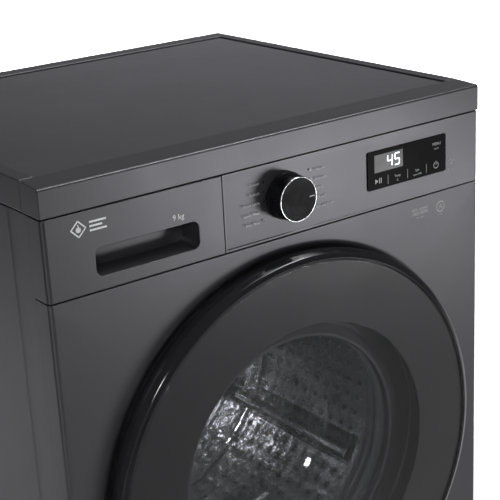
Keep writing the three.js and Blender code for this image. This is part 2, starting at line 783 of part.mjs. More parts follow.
function tubRear() {
  const R = tubRadius;
  const t = tubWall + 1;
  const y = tubRearY;
  const shell = latheY([
    [R + tubFlange, tubJoint + fit], [R + tubFlange, tubJoint + tubFlange], [R, tubJoint + tubFlange],
    [R, y - 10], [R - 8, y], [80, y], [80, hubEnd], [bearingSmall + fit, hubEnd],
    [bearingSmall + fit, hubEnd - bearingWide - 3], [shaftBig + 6, hubEnd - bearingWide - 3],
    [shaftBig + 6, bearingFrontY + bearingWide + 2], [bearingBig + fit, bearingFrontY + bearingWide + 2],
    [bearingBig + fit, bearingFrontY - 3], [bearingBig + 12, bearingFrontY - 3], [bearingBig + 18, y - t],
    [R - 10, y - t], [R - tubWall, y - 12], [R - tubWall, tubJoint + fit],
  ]);
  const ears = [-1, 1].map((s) => lug(s, springX, railY, springRise - lugThick, 12));
  return join(shell, cut(join(...ears), rodY(R - tubWall + 0.5, tubJoint, y)));
}

function ringY(outer, inner, y0, y1, segments = 32) {
  return latheY([[inner, y0], [outer, y0], [outer, y1], [inner, y1]], segments);
}

function drumShell() {
  const R = drumRadius;
  const t = drumSheet;
  const m = drumOpening;
  const y0 = drumFrontY;
  const y1 = drumRearY;
  return latheY([
    [0, y1 - 10], [70, y1 - 10], [84, y1 - t], [R - t, y1 - t], [R - t, y0 + 10], [R - 9, y0 + 3],
    [m + 3, y0 + t], [m + 2, y0 + 3], [m + 0.5, y0 + 3], [m + 1, y0], [R - 8, y0 + 1], [R, y0 + 9],
    [R, y1], [83, y1], [69, y1 - 10 + t], [0, y1 - 10 + t],
  ]);
}

function lifter() {
  const r = drumRadius - drumSheet - fit;
  const w = lifterWide / 2;
  const y0 = drumFrontY + 24;
  const y1 = drumRearY - 16;
  const section = outline([
    [-w, -r + 2.6], [w, -r + 2.6], [w - 5, -r + 12], [9, -r + lifterTall - 5],
    [4, -r + lifterTall], [-4, -r + lifterTall], [-9, -r + lifterTall - 5], [-w + 5, -r + 12],
  ]);
  return prismY(section, y0, y1);
}

function drumSpider() {
  const y0 = drumRearY + fit;
  const y1 = y0 + 26;
  const hub = latheY([[shaftBig + 0.3, y0], [58, y0], [46, y1], [shaftBig + 0.3, y1]], 32);
  const arms = [0, 1, 2].map((i) => {
    const plan = outline([[-17, 40], [17, 40], [11, drumRadius - 12], [-11, drumRadius - 12]]);
    const arm = prismY(plan, y0, y0 + 15);
    return arm.rotate([0, i * 120, 0]);
  });
  return join(hub, ...arms);
}

function driveShaft() {
  const y0 = drumRearY + 2;
  const step = hubEnd - bearingWide - 1.5;
  return latheY([
    [0, y0], [shaftBig, y0], [shaftBig, step], [shaftSmall, step], [shaftSmall, rotorBack + 4],
    [0, rotorBack + 4],
  ], 32);
}

const rotorBack = hubEnd + statorWide + 12;

function rotor() {
  const R = statorRadius + rotorGap;
  const y1 = rotorBack;
  return latheY([
    [shaftSmall + 0.3, y1 - 10], [34, y1 - 10], [40, y1 - 4], [R, y1 - 4], [R, hubEnd + 2],
    [R + rotorWall, hubEnd + 2], [R + rotorWall, y1], [shaftSmall + 0.3, y1],
  ], 40);
}

function stator() {
  const y0 = hubEnd + fit;
  const ring = ringY(statorRadius - 22, statorBore, y0, y0 + statorWide);
  const teeth = [];
  for (let i = 0; i < 12; i++) {
    const tooth = box(-9, 9, y0 + 3, y0 + statorWide - 3, statorRadius - 34, statorRadius - 2);
    teeth.push(tooth.rotate([0, i * 30, 0]));
  }
  return join(ring, ...teeth);
}

function topWeight() {
  const block = box(24, 204, 110, 292, 150, Math.min(tubRadius + 36, railZ - axisZ - 26));
  const reach = tubFlange + fit;
  const flange = rodY(tubRadius + reach, tubJoint - reach, tubJoint + reach, 0, 0);
  return cut(block, rodY(tubRadius + fit, 100, 300), flange);
}

function frontWeight() {
  const ring = ringY(tubRadius - 6, mouth + 10, dishDepth + 14, tubFrontY - 9);
  return cut(ring, box(-half, half, 0, tubFrontY, -90, half));
}

function heater() {
  const z = -(drumRadius + drumGap / 2);
  const y0 = tubJoint - 90;
  const y1 = tubRearY - 14;
  const points = [[-20, y1], [-20, y0 + 20], [-14, y0 + 6], [0, y0], [14, y0 + 6], [20, y0 + 20], [20, y1]];
  return tube(points.map(([x, y]) => new THREE.Vector3(x, y, z)), 3.5, 8, 28);
}

// A coil spring that stands along Z, from z0 to z1.
class Coil extends THREE.Curve {
  constructor(radius, turns, z0, z1) {
    super();
    Object.assign(this, { radius, turns, z0, z1 });
  }
  getPoint(t, target = new THREE.Vector3()) {
    const a = t * this.turns * Math.PI * 2;
    const z = this.z0 + t * (this.z1 - this.z0);
    return target.set(this.radius * Math.cos(a), this.radius * Math.sin(a), z);
  }
}

function suspensionSpring() {
  const z0 = axisZ + springRise + springWire + fit + 0.6;
  const z1 = railZ - springWire - fit - 0.6;
  return tube([], springWire, 5, springTurns * 9, new Coil(springRadius, springTurns, z0, z1));
}

function bellows() {
  const z0 = pumpZ + pumpRadius + 12 + fit;
  const z1 = axisZ - sumpDrop - fit;
  const r = sumpRadius - 4;
  const folds = 5;
  const pitch = (z1 - z0 - 24) / folds;
  const outer = [[r + 2, z0], [r + 2, z0 + 12]];
  for (let i = 0; i < folds; i++) {
    outer.push([r + 6, z0 + 12 + (i + 0.5) * pitch], [r + 2, z0 + 12 + (i + 1) * pitch]);
  }
  outer.push([r + 2, z1]);
  return latheZ([...outer, [r - 2, z1], [r - 2, z0]], 20);
}

function damperBody() {
  const z0 = footHeight + basePlate + fit;
  return latheZ([
    [0, z0], [damperRadius, z0], [damperRadius, z0 + 118], [damperRadius - 4, z0 + 124],
    [rodRadius + 0.8, z0 + 124], [rodRadius + 0.8, z0 + 30], [0, z0 + 30],
  ], 20);
}

const damperRod = () => rodZ(rodRadius, footHeight + basePlate + 62, axisZ - damperRise - fit, 0, 0, 16);

// ---- Pump and rear fittings ----
function drainPump() {
  const y0 = wrapDepth + 8;
  const y1 = y0 + pumpLength;
  const shell = latheY([
    [0, y1 + 30], [20, y1 + 30], [22, y1], [pumpRadius, y1 - 6], [pumpRadius, y0], [pumpRadius - 3, y0],
    [pumpRadius - 3, y1 - 12], [0, y1 - 12],
  ].reverse(), 24, pumpX, pumpZ);
  const z1 = pumpZ + pumpRadius + 12;
  const neck = cut(
    rodZ(sumpRadius - 4, pumpZ + 20, z1, pumpX, sumpY),
    rodZ(sumpRadius - 7, pumpZ + 10, z1 + 1, pumpX, sumpY),
  );
  const base = box(pumpX - 24, pumpX + 24, y0 + 20, y1, footHeight + basePlate + fit, pumpZ - pumpRadius + 6);
  return cut(join(shell, neck, base), rodY(pumpRadius - 3, y0 - 1, y1 - 12, pumpX, pumpZ, 24));
}

function filterCap() {
  const y1 = wrapDepth + 8 - fit;
  const disc = latheY([
    [0, 14], [pumpRadius - 2, 14], [pumpRadius, 16], [pumpRadius, y1], [pumpRadius - 3.6, y1],
    [pumpRadius - 3.6, y1 + 16], [pumpRadius - 8, y1 + 44], [0, y1 + 44],
  ], 24);
  return join(disc, box(-22, 22, 6, 15, -4, 4));
}

function inletValve() {
  const y1 = cabinetDepth - 1;
  const port = latheY([
    [0, y1 - 4], [valvePort - 4, y1 - 4], [valvePort - 4, y1], [valvePort, y1], [valvePort, rearPlateY - 1],
    [valvePort + 7, rearPlateY - 1], [valvePort + 7, rearPlateY - 4], [valvePort, rearPlateY - 4],
    [valvePort, rearPlateY - 34], [0, rearPlateY - 34],
  ].reverse(), 20, valveX, valveZ);
  const coils = [-1, 1].map((s) => rodY(11, rearPlateY - 74, rearPlateY - 30, valveX + s * 13, valveZ, 16));
  const body = box(valveX - 20, valveX + 20, rearPlateY - 38, rearPlateY - 26, valveZ - 12, valveZ + 12);
  return join(port, ...coils, body);
}

function cableGland() {
  const y = rearPlateY;
  return latheY([
    [0, y - 12], [glandRadius + 4, y - 12], [glandRadius + 4, y - fit], [glandRadius, y - fit],
    [glandRadius, y + 4], [glandRadius - 3, y + 6], [4, y + 6], [4, y - 6], [0, y - 6],
  ].reverse(), 20, -glandX, glandZ);
}

function drainOutlet() {
  const y = rearPlateY;
  return latheY([
    [0, y - 60], [outletRadius + 4, y - 60], [outletRadius + 4, y - fit], [outletRadius, y - fit],
    [outletRadius, y + 6], [outletRadius - 3, y + 6], [outletRadius - 3, y - 50], [0, y - 50],
  ].reverse(), 20, glandX, glandZ);
}

const frontBearing = () => ringY(bearingBig, shaftBig + 0.3, bearingFrontY, bearingFrontY + bearingWide);
const rearBearing = () => ringY(bearingSmall, shaftSmall + 0.3, hubEnd - bearingWide, hubEnd - 2);

// ---- Assembly ----
add(machine, "side_panel_left", sidePanel(-1), finish.shell);
add(machine, "side_panel_right", sidePanel(1), finish.shell);
add(machine, "rear_frame", rearFrame(), finish.zinc);
add(machine, "back_cover", backCover(), finish.zinc);
add(machine, "base_pan", basePan(), finish.dark);
add(machine, "upper_frame", upperFrame(), finish.zinc);
add(machine, "front_panel", frontPanel(), finish.shell);
add(machine, "lower_cover", lowerCover(), finish.shell);
add(machine, "filter_flap", filterFlap(), finish.shell);
add(machine, "lid_front_trim", lidFront(), finish.fascia);
add(machine, "top_rim", topRim(), finish.fascia);
add(machine, "top_board", topBoard(), finish.board);

["front_left", "front_right", "rear_left", "rear_right"].forEach((name, i) => {
  add(machine, "foot_" + name, foot(), finish.dark).position.set(feet[i][0], feet[i][1], 0);
});

add(machine, "control_panel", controlPanel(), finish.fascia);
add(machine, "display_window", displayWindow(), finish.gloss);
add(machine, "control_board", controlBoard(), finish.circuit);
add(machine, "program_knob", knob(), finish.steel);

add(machine, "dispenser_housing", dispenserHousing(), finish.plastic);
add(machine, "detergent_drawer", detergentDrawer(), finish.plastic);
add(machine, "drawer_front", drawerFront(), finish.fascia);
add(machine, "inlet_valve", inletValve(), finish.plastic);
add(machine, "cable_gland", cableGland(), finish.dark);
add(machine, "drain_outlet", drainOutlet(), finish.polymer);
add(machine, "drain_pump", drainPump(), finish.plastic);
add(machine, "pump_filter_cap", filterCap(), finish.dark).position.set(pumpX, 0, pumpZ);

const door = new THREE.Group();
door.position.z = axisZ;
machine.add(door);
add(door, "door_ring", doorRing(), finish.gloss);
add(door, "door_cover_glass", coverGlass(), finish.glass);
add(door, "door_inner_frame", innerFrame(), finish.dark);
add(door, "door_bowl", doorBowl(), finish.glass);
add(door, "door_hinge_arm", hingeArm(), finish.zinc);
add(door, "door_hook", doorHook(), finish.steel);
add(door, "hinge_bracket", hingeBracket(), finish.zinc);
add(door, "hinge_pin", hingePin(), finish.steel);
add(door, "door_lock", doorLock(), finish.dark);
add(door, "door_gasket", doorGasket(), finish.rubber);

const wash = new THREE.Group();
wash.position.z = axisZ;
machine.add(wash);
add(wash, "tub_front", tubFront(), finish.polymer);
add(wash, "tub_rear", tubRear(), finish.polymer);
add(wash, "counterweight_top", topWeight(), finish.concrete);
add(wash, "counterweight_front", frontWeight(), finish.concrete);
add(wash, "heater", heater(), finish.steel);
add(wash, "bearing_front", frontBearing(), finish.steel);
add(wash, "bearing_rear", rearBearing(), finish.steel);
add(wash, "stator", stator(), finish.copper);
add(wash, "drum", drumShell(), finish.steel);
add(wash, "drum_spider", drumSpider(), finish.zinc);
add(wash, "drive_shaft", driveShaft(), finish.steel);
add(wash, "rotor", rotor(), finish.zinc);
for (let i = 0; i < 3; i++) {
  const mesh = add(wash, "lifter_" + (i + 1), lifter(), finish.plastic);
  mesh.rotation.y = THREE.MathUtils.degToRad(60 + i * 120);
}

["left", "right"].forEach((name, i) => {
  const side = i ? 1 : -1;
  const spring = add(machine, "suspension_spring_" + name, suspensionSpring(), finish.steel);
  spring.position.set(side * springX, railY, 0);
  const cylinder = add(machine, "damper_cylinder_" + name, damperBody(), finish.plastic);
  cylinder.position.set(side * damperX, damperY, 0);
  const rod = add(machine, "damper_rod_" + name, damperRod(), finish.steel);
  rod.position.set(side * damperX, damperY, 0);
});
add(machine, "sump_bellows", bellows(), finish.rubber).position.set(pumpX, sumpY, 0);

const washingMachine = new THREE.Group();
washingMachine.add(machine);
export default washingMachine;
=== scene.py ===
"""The looks of a front-loading washing machine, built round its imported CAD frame.

Lengths are in metres, +Z up, and the door looks along -Y. Places come from the boxes of the
CAD nodes. Round pieces are turned from a profile, sheet and moulded pieces are the CAD shape
with its edges broken, and repeats (perforations, drops, screws) come from Geometry Nodes.
"""

import json
import math
import random

import bmesh
import bpy
from mathutils import Matrix, Vector

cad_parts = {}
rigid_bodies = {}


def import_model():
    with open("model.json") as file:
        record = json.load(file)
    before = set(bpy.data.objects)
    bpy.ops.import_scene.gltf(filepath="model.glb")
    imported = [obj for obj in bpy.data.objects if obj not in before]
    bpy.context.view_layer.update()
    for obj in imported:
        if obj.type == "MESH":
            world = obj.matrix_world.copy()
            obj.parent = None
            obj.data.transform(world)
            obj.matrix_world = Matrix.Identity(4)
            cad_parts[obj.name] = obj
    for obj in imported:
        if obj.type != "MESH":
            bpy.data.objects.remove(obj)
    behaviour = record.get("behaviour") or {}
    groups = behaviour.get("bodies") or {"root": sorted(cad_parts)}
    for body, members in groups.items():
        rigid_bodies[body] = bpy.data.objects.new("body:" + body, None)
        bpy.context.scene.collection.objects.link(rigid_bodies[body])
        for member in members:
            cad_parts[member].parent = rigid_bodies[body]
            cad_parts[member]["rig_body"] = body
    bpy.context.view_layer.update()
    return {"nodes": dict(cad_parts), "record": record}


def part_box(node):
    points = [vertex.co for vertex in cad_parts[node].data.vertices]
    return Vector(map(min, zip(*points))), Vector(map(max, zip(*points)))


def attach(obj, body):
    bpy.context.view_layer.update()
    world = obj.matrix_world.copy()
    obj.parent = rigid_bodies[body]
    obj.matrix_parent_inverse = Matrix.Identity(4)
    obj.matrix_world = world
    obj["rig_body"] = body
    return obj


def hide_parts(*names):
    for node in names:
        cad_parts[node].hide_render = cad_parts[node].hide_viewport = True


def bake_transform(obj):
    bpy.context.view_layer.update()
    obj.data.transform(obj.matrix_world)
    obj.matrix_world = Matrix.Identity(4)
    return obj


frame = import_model()
nodes = frame["nodes"]
MM = 0.001

# ---- Places taken from the frame ----
PANEL_LO, PANEL_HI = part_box("front_panel")
FRONT_Y = PANEL_LO.y
GLASS_LO, GLASS_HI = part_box("door_cover_glass")
AXIS_Z = (GLASS_LO.z + GLASS_HI.z) / 2
GLASS_R = GLASS_HI.x
RING_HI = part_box("door_ring")[1]
RING_R = RING_HI.x
BOWL_LO, BOWL_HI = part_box("door_bowl")
BOWL_R = BOWL_HI.x
BOWL_NECK_R = BOWL_R - 20 * MM  # inside the flange that the door's frame clamps
DRUM_LO, DRUM_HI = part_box("drum")
DRUM_R = DRUM_HI.x
GASKET_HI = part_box("door_gasket")[1]
MOUTH_R = GASKET_HI.x - 6 * MM  # the cabinet's round opening, under the gasket's lip
KNOB_LO, KNOB_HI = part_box("program_knob")
KNOB_Z = (KNOB_LO.z + KNOB_HI.z) / 2
KNOB_R = KNOB_HI.x
DISPLAY_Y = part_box("display_window")[0].y
DRAWER_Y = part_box("drawer_front")[0].y
LID_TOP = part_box("lid_front_trim")[1].z

# ---- Sizes that only the looks use ----
DISH_LIP = 7 * MM  # the dish's edge outside the door's ring
DISH_SLOPE = 23 * MM  # width of the dish's soft edge
DISH_DEPTH = 16 * MM
SHEET = 1.2 * MM
CORNER = 5 * MM  # vertical front corners
FINGER_DEPTH = 18 * MM  # the cut in the door's ring that fingers pull it by
FINGER_HALF = 52 * MM
DRUM_MOUTH_R = 195 * MM
WALL_DROPS, BACK_DROPS = 620, 380
PRINT = 0.06 * MM  # thickness of the ink and of the display's light
PRINT_DROP = 1.8  # heights of the graphics count from this many mm below the lid's top
SHARP = math.radians(32)  # edges that turn more than this stay sharp


# ---- Mesh helpers ----
def object_from(name, mesh):
    obj = bpy.data.objects.new(name, mesh)
    bpy.context.scene.collection.objects.link(obj)
    return obj


def from_bmesh(name, bm, outward=True):
    """A smooth-shaded object from bm, with its sharp edges kept."""
    if outward:
        bmesh.ops.recalc_face_normals(bm, faces=bm.faces)
    mesh = bpy.data.meshes.new(name)
    bm.to_mesh(mesh)
    bm.free()
    mesh.shade_smooth()
    mesh.set_sharp_from_angle(angle=SHARP)
    return object_from(name, mesh)


def settle_normals(obj):
    """Weights the shading by face area, so that flat faces stay flat beside rounded edges."""
    step = obj.modifiers.new("flat_faces", "WEIGHTED_NORMAL")
    step.weight = 100
    step.keep_sharp = True
    return plain_mesh(obj)


def plain_mesh(obj):
    """Applies the modifiers of obj, so that only its final mesh is left."""
    deps = bpy.context.evaluated_depsgraph_get()
    mesh = bpy.data.meshes.new_from_object(obj.evaluated_get(deps))
    obj.modifiers.clear()
    obj.data = mesh
    return obj


def rounded(points, radius, steps=5, closed=True):
    """The outline with each corner rounded. A point may carry its own radius as a third value."""
    out = []
    count = len(points)
    for i, point in enumerate(points):
        here = Vector(point[:2])
        r = point[2] if len(point) > 2 else radius
        ends = not closed and i in (0, count - 1)
        if r <= 0 or ends or (closed and here.x <= 0):
            out.append(here)
            continue
        before = Vector(points[i - 1][:2]) - here
        after = Vector(points[(i + 1) % count][:2]) - here
        turn = before.angle(after) / 2
        reach = min(r / max(math.tan(turn), 1e-3), before.length * 0.48, after.length * 0.48)
        a = here + before.normalized() * reach
        b = here + after.normalized() * reach
        for k in range(steps + 1):
            t = k / steps
            out.append(a * (1 - t) ** 2 + here * 2 * t * (1 - t) + b * t ** 2)
    return out


def turned(name, profile, segments=160, centre=(0, AXIS_Z)):
    """A profile of (radius, y) turned about the Y axis through centre, open or from axis to axis."""
    bm = bmesh.new()
    rings = []
    turn = 2 * math.pi / segments
    for r, y in profile:
        if r < 1e-6:
            rings.append([bm.verts.new((centre[0], y, centre[1]))])
            continue
        rings.append([
            bm.verts.new((centre[0] + r * math.cos(i * turn), y, centre[1] + r * math.sin(i * turn)))
            for i in range(segments)
        ])
    pairs = list(zip(rings, rings[1:]))
    if len(rings[0]) > 1:
        pairs.append((rings[-1], rings[0]))
    for a, b in pairs:
        for i in range(segments):
            j = (i + 1) % segments
            corners = [a[i % len(a)], a[j % len(a)], b[j % len(b)], b[i % len(b)]]
            unique = list(dict.fromkeys(corners))
            if len(unique) > 2:
                bm.faces.new(unique)
    return from_bmesh(name, bm)


def turned_z(name, profile, segments, centre):
    """A profile of (radius, z) turned about the Z axis through centre."""
    obj = turned(name, profile, segments, (0, 0))
    swap = Matrix(((1, 0, 0, centre[0]), (0, 0, 1, centre[1]), (0, 1, 0, 0), (0, 0, 0, 1)))
    obj.data.transform(swap)
    obj.data.flip_normals()
    return obj


def band(points, thick):
    """The outline of a band of the given thickness along a run of points."""
    def normal(i):
        p, q = Vector(points[i]), Vector(points[i + 1])
        d = (q - p).normalized()
        return Vector((-d.y, d.x))

    left, right = [], []
    for i, point in enumerate(points):
        a = normal(max(i - 1, 0))
        b = normal(min(i, len(points) - 2))
        offset = (a + b) * (thick / 2 / (1 + a.dot(b)))
        left.append(Vector(point) + offset)
        right.append(Vector(point) - offset)
    return left + right[::-1]


def box_mesh(bm, lo, hi):
    size = Vector(hi) - Vector(lo)
    middle = (Vector(hi) + Vector(lo)) / 2
    bmesh.ops.create_cube(bm, size=1, matrix=Matrix.Translation(middle) @ Matrix.Diagonal((*size, 1)))


def block(name, lo, hi):
    bm = bmesh.new()
    box_mesh(bm, lo, hi)
    return from_bmesh(name, bm)


def carve(obj, cutters):
    """Cuts the cutters out of obj and removes them."""
    for cutter in cutters:
        cutting = obj.modifiers.new("cut", "BOOLEAN")
        cutting.object = cutter
        cutting.operation = "DIFFERENCE"
        cutting.solver = "EXACT"
    plain_mesh(obj)
    for cutter in cutters:
        bpy.data.objects.remove(cutter)
    obj.data.set_sharp_from_angle(angle=SHARP)
    return obj


def merge(name, parts):
    """One object from several, each already in place."""
    bm = bmesh.new()
    for part in parts:
        bm.from_mesh(part.data)
        bpy.data.objects.remove(part)
    return from_bmesh(name, bm, outward=False)


def upright(node):
    """The box of a CAD node that stands round a vertical axis, the axis's place and the radius."""
    lo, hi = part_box(node)
    return lo, hi, ((lo.x + hi.x) / 2, (lo.y + hi.y) / 2), (hi.x - lo.x) / 2


def dress(obj, material):
    obj.data.materials.clear()
    obj.data.materials.append(material)


def stands_for(obj, node, material):
    """obj takes the place of a CAD node and moves with its body."""
    dress(settle_normals(obj), material)
    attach(obj, nodes[node]["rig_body"])
    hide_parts(node)


def stretches(obj, node, slot):
    """obj takes the place of a CAD node that spans the cabinet and the moving tub; it stays baked in place.
    """
    dress(obj, PAINT[slot])
    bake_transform(obj)
    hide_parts(node)


def extra(obj, body, material):
    """A piece that only the looks have."""
    dress(obj, material)
    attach(obj, body)


def broken_edges(node, bevel, segments=3):
    """The CAD shape as one clean mesh with its sharp edges rounded."""
    bm = bmesh.new()
    bm.from_mesh(nodes[node].data)
    bmesh.ops.remove_doubles(bm, verts=bm.verts, dist=1e-5)
    bmesh.ops.dissolve_limit(bm, angle_limit=math.radians(2), verts=bm.verts, edges=bm.edges)
    least = math.radians(30)
    sharp = [e for e in bm.edges if len(e.link_faces) == 2 and e.calc_face_angle(0) > least]
    if bevel:
        bmesh.ops.bevel(bm, geom=sharp, offset=bevel, segments=segments, profile=0.6,
                        affect="EDGES", clamp_overlap=True)
        bmesh.ops.remove_doubles(bm, verts=bm.verts, dist=1e-6)
    return from_bmesh(node + "_finished", bm, outward=False)


SLOTS = {part["node"]: part["material_slot"] for part in frame["record"]["subparts"]}


def add_node(tree, kind, inputs, settings):
    """A node in tree. Each input is linked to a socket or set to a value."""
    made = tree.nodes.new(kind)
    for key, value in settings.items():
        setattr(made, key, value)
    for key, value in (inputs or {}).items():
        if isinstance(value, bpy.types.NodeSocket):
            tree.links.new(value, made.inputs[key])
        else:
            made.inputs[key].default_value = value
    return made


# ---- Material helpers ----
def lighter(color, times, lift=0.0):
    return tuple(min(1, c * times + lift) for c in color)


class Surface:
    """A Principled material whose colour, roughness and bump come from nodes in Object space."""

    def __init__(self, name, color, rough, metal=0.0, **constants):
        self.material = bpy.data.materials.new(name)
        self.material.use_nodes = True
        self.tree = self.material.node_tree
        self.shader = self.tree.nodes["Principled BSDF"]
        self.color = (*color, 1)
        self.rough = rough
        self.shader.inputs["Base Color"].default_value = self.color
        self.shader.inputs["Roughness"].default_value = rough
        self.shader.inputs["Metallic"].default_value = metal
        for socket, value in constants.items():
            self.shader.inputs[socket.replace("_", " ")].default_value = value
        self.coords = self.tree.nodes.new("ShaderNodeTexCoord").outputs["Object"]
        self.height = None

    def node(self, kind, inputs=None, **settings):
        return add_node(self.tree, kind, inputs, settings)

    def stretched(self, scale, place=(0, 0, 0)):
        move = self.node("ShaderNodeMapping", {"Vector": self.coords, "Scale": scale, "Location": place})
        return move.outputs["Vector"]

    def noise(self, scale, detail=3, rough=0.55, coords=None):
        inputs = {"Vector": coords or self.coords, "Scale": scale, "Detail": detail, "Roughness": rough}
        return self.node("ShaderNodeTexNoise", inputs).outputs["Fac"]

    def spots(self, scale, feature="F1"):
        inputs = {"Vector": self.coords, "Scale": scale}
        return self.node("ShaderNodeTexVoronoi", inputs, feature=feature).outputs["Distance"]

    def between(self, value, low, high, to_low=0.0, to_high=1.0):
        inputs = {"Value": value, "From Min": low, "From Max": high, "To Min": to_low, "To Max": to_high}
        return self.node("ShaderNodeMapRange", inputs).outputs["Result"]

    def math(self, operation, a, b=0.0):
        made = self.node("ShaderNodeMath", {0: a, 1: b}, operation=operation)
        return made.outputs["Value"]

    def tint(self, value, color):
        """Blends the colour so far with another one, by value."""
        mix = self.node("ShaderNodeMix", {"Factor": value}, data_type="RGBA")
        source = self.shader.inputs["Base Color"]
        if source.is_linked:
            self.tree.links.new(source.links[0].from_socket, mix.inputs["A"])
        else:
            mix.inputs["A"].default_value = self.color
        mix.inputs["B"].default_value = (*color, 1)
        self.tree.links.new(mix.outputs["Result"], source)

    def vary(self, amount, scale):
        """Broad, soft changes of colour."""
        darker = tuple(c * (1 - amount) for c in self.color[:3])
        self.tint(self.between(self.noise(scale, 4), 0.35, 0.65), darker)

    def vary_rough(self, amount, scale, coords=None):
        smooth, dull = self.rough - amount, self.rough + amount
        value = self.between(self.noise(scale, 5, coords=coords), 0.3, 0.7, smooth, dull)
        self.tree.links.new(value, self.shader.inputs["Roughness"])

    def bump(self, value, strength, distance):
        inputs = {"Height": value, "Strength": strength, "Distance": distance}
        made = self.node("ShaderNodeBump", inputs)
        if self.height is not None:
            self.tree.links.new(self.height, made.inputs["Normal"])
        self.height = made.outputs["Normal"]
        self.tree.links.new(self.height, self.shader.inputs["Normal"])

    def worn_edges(self, color, amount):
        """Edges that hands and cloths have rubbed bright."""
        point = self.node("ShaderNodeNewGeometry").outputs["Pointiness"]
        edge = self.between(point, 0.52, 0.6, 0.0, amount)
        patchy = self.math("MULTIPLY", edge, self.noise(40, 3))
        self.tint(patchy, color)


def painted_metal(name, color, rough=0.36, flake=0.05):
    s = Surface(name, color, rough, 0.55, Coat_Weight=0.12, Coat_Roughness=0.3)
    s.vary(0.06, 2.2)
    s.vary_rough(0.025, 7)
    s.tint(s.between(s.noise(2600, 1), 0.62, 0.74, 0, flake), lighter(color, 4))
    s.bump(s.noise(420, 2), 0.035, 0.1 * MM)
    s.bump(s.noise(60, 2), 0.02, 0.3 * MM)
    s.worn_edges(lighter(color, 1.8), 0.35)
    return s.material


def moulded(name, color, rough=0.5, grain=900, bump=0.12, **constants):
    s = Surface(name, color, rough, 0.0, **constants)
    s.vary(0.06, 6)
    s.vary_rough(0.05, 18)
    s.bump(s.noise(grain, 3), bump, 0.1 * MM)
    s.worn_edges(lighter(color, 1.5, 0.01), 0.4)
    return s.material


def board_laminate(name, color):
    s = Surface(name, color, 0.55, 0.0, Specular_IOR_Level=0.3)
    s.vary(0.1, 5)
    s.tint(s.between(s.noise(1500, 2), 0.56, 0.68, 0, 0.35), lighter(color, 2.2))
    s.vary_rough(0.06, 30)
    s.bump(s.noise(1300, 2), 0.5, 0.12 * MM)
    s.bump(s.spots(900), 0.25, 0.1 * MM)
    return s.material


def polished_black(name, color, rough=0.1, shine=0.45, dust=0.15):
    s = Surface(name, color, rough, 0.0, IOR=1.5, Specular_IOR_Level=shine)
    s.vary(0.2, 8)
    s.tint(s.between(s.noise(900, 2), 0.68, 0.8, 0, dust), (0.09, 0.09, 0.1))
    s.vary_rough(0.03, 14)
    s.bump(s.noise(26, 2), 0.015, 0.4 * MM)
    return s.material


def metal(name, color, rough, scale, lines=700, bump=0.08):
    """Drawn, turned or rolled metal: scale stretches its fine lines along one way."""
    s = Surface(name, color, rough, 1.0)
    along = s.stretched(scale)
    s.vary(0.08, 12)
    s.vary_rough(0.07, lines / 6, along)
    s.bump(s.noise(lines, 3, coords=along), bump, 0.08 * MM)
    return s.material


def galvanised(name):
    s = Surface(name, (0.40, 0.42, 0.44), 0.42, 1.0)
    spangle = s.node("ShaderNodeTexVoronoi", {"Vector": s.coords, "Scale": 130}).outputs["Color"]
    grey = s.node("ShaderNodeRGBToBW", {"Color": spangle}).outputs["Val"]
    s.tint(s.between(grey, 0.2, 0.8, 0, 0.45), (0.27, 0.29, 0.31))
    s.vary(0.12, 5)
    s.vary_rough(0.08, 60)
    s.bump(s.noise(500, 2), 0.06, 0.1 * MM)
    return s.material


def casting(name, color):
    s = Surface(name, color, 0.55, 0.9)
    s.vary(0.12, 20)
    s.vary_rough(0.08, 90)
    s.bump(s.noise(800, 4), 0.3, 0.15 * MM)
    s.worn_edges(lighter(color, 1.5), 0.5)
    return s.material


def cast_concrete(name):
    s = Surface(name, (0.30, 0.29, 0.27), 0.92)
    s.vary(0.2, 14)
    s.tint(s.between(s.spots(180), 0.0, 0.12, 0.5, 0), (0.12, 0.115, 0.11))
    s.vary_rough(0.05, 50)
    s.bump(s.noise(240, 6, 0.7), 0.6, 0.6 * MM)
    return s.material


def rubber(name, color):
    s = Surface(name, color, 0.62, 0.0, Specular_IOR_Level=0.35, Sheen_Weight=0.15, Sheen_Roughness=0.4)
    s.vary(0.15, 10)
    s.vary_rough(0.1, 25)
    s.tint(s.between(s.noise(60, 5), 0.6, 0.75, 0, 0.3), lighter(color, 1.5))
    s.bump(s.noise(700, 4), 0.2, 0.12 * MM)
    return s.material


def clear(name, tint, mirror, rough):
    """Thin glass: it lets light straight through, tinted, and mirrors more towards its edges."""
    s = Surface(name, tint, rough)
    s.vary_rough(rough * 0.5, 11)
    s.bump(s.noise(9, 2), 0.01, 0.5 * MM)
    gloss = s.node("ShaderNodeBsdfGlossy", {"Color": (1, 1, 1, 1)})
    s.tree.links.new(s.shader.inputs["Roughness"].links[0].from_socket, gloss.inputs["Roughness"])
    s.tree.links.new(s.height, gloss.inputs["Normal"])
    through = s.node("ShaderNodeBsdfTransparent", {"Color": (*tint, 1)})
    facing = s.node("ShaderNodeLayerWeight", {"Blend": 0.5}).outputs["Facing"]
    share = s.math("ADD", s.math("MULTIPLY", s.math("POWER", facing, 5.0), 1 - mirror), mirror)
    mix = s.node("ShaderNodeMixShader", {0: share})
    s.tree.links.new(through.outputs["BSDF"], mix.inputs[1])
    s.tree.links.new(gloss.outputs["BSDF"], mix.inputs[2])
    out = s.tree.nodes["Material Output"]
    s.tree.links.new(mix.outputs["Shader"], out.inputs["Surface"])
    s.tree.nodes.remove(s.shader)
    return s.material


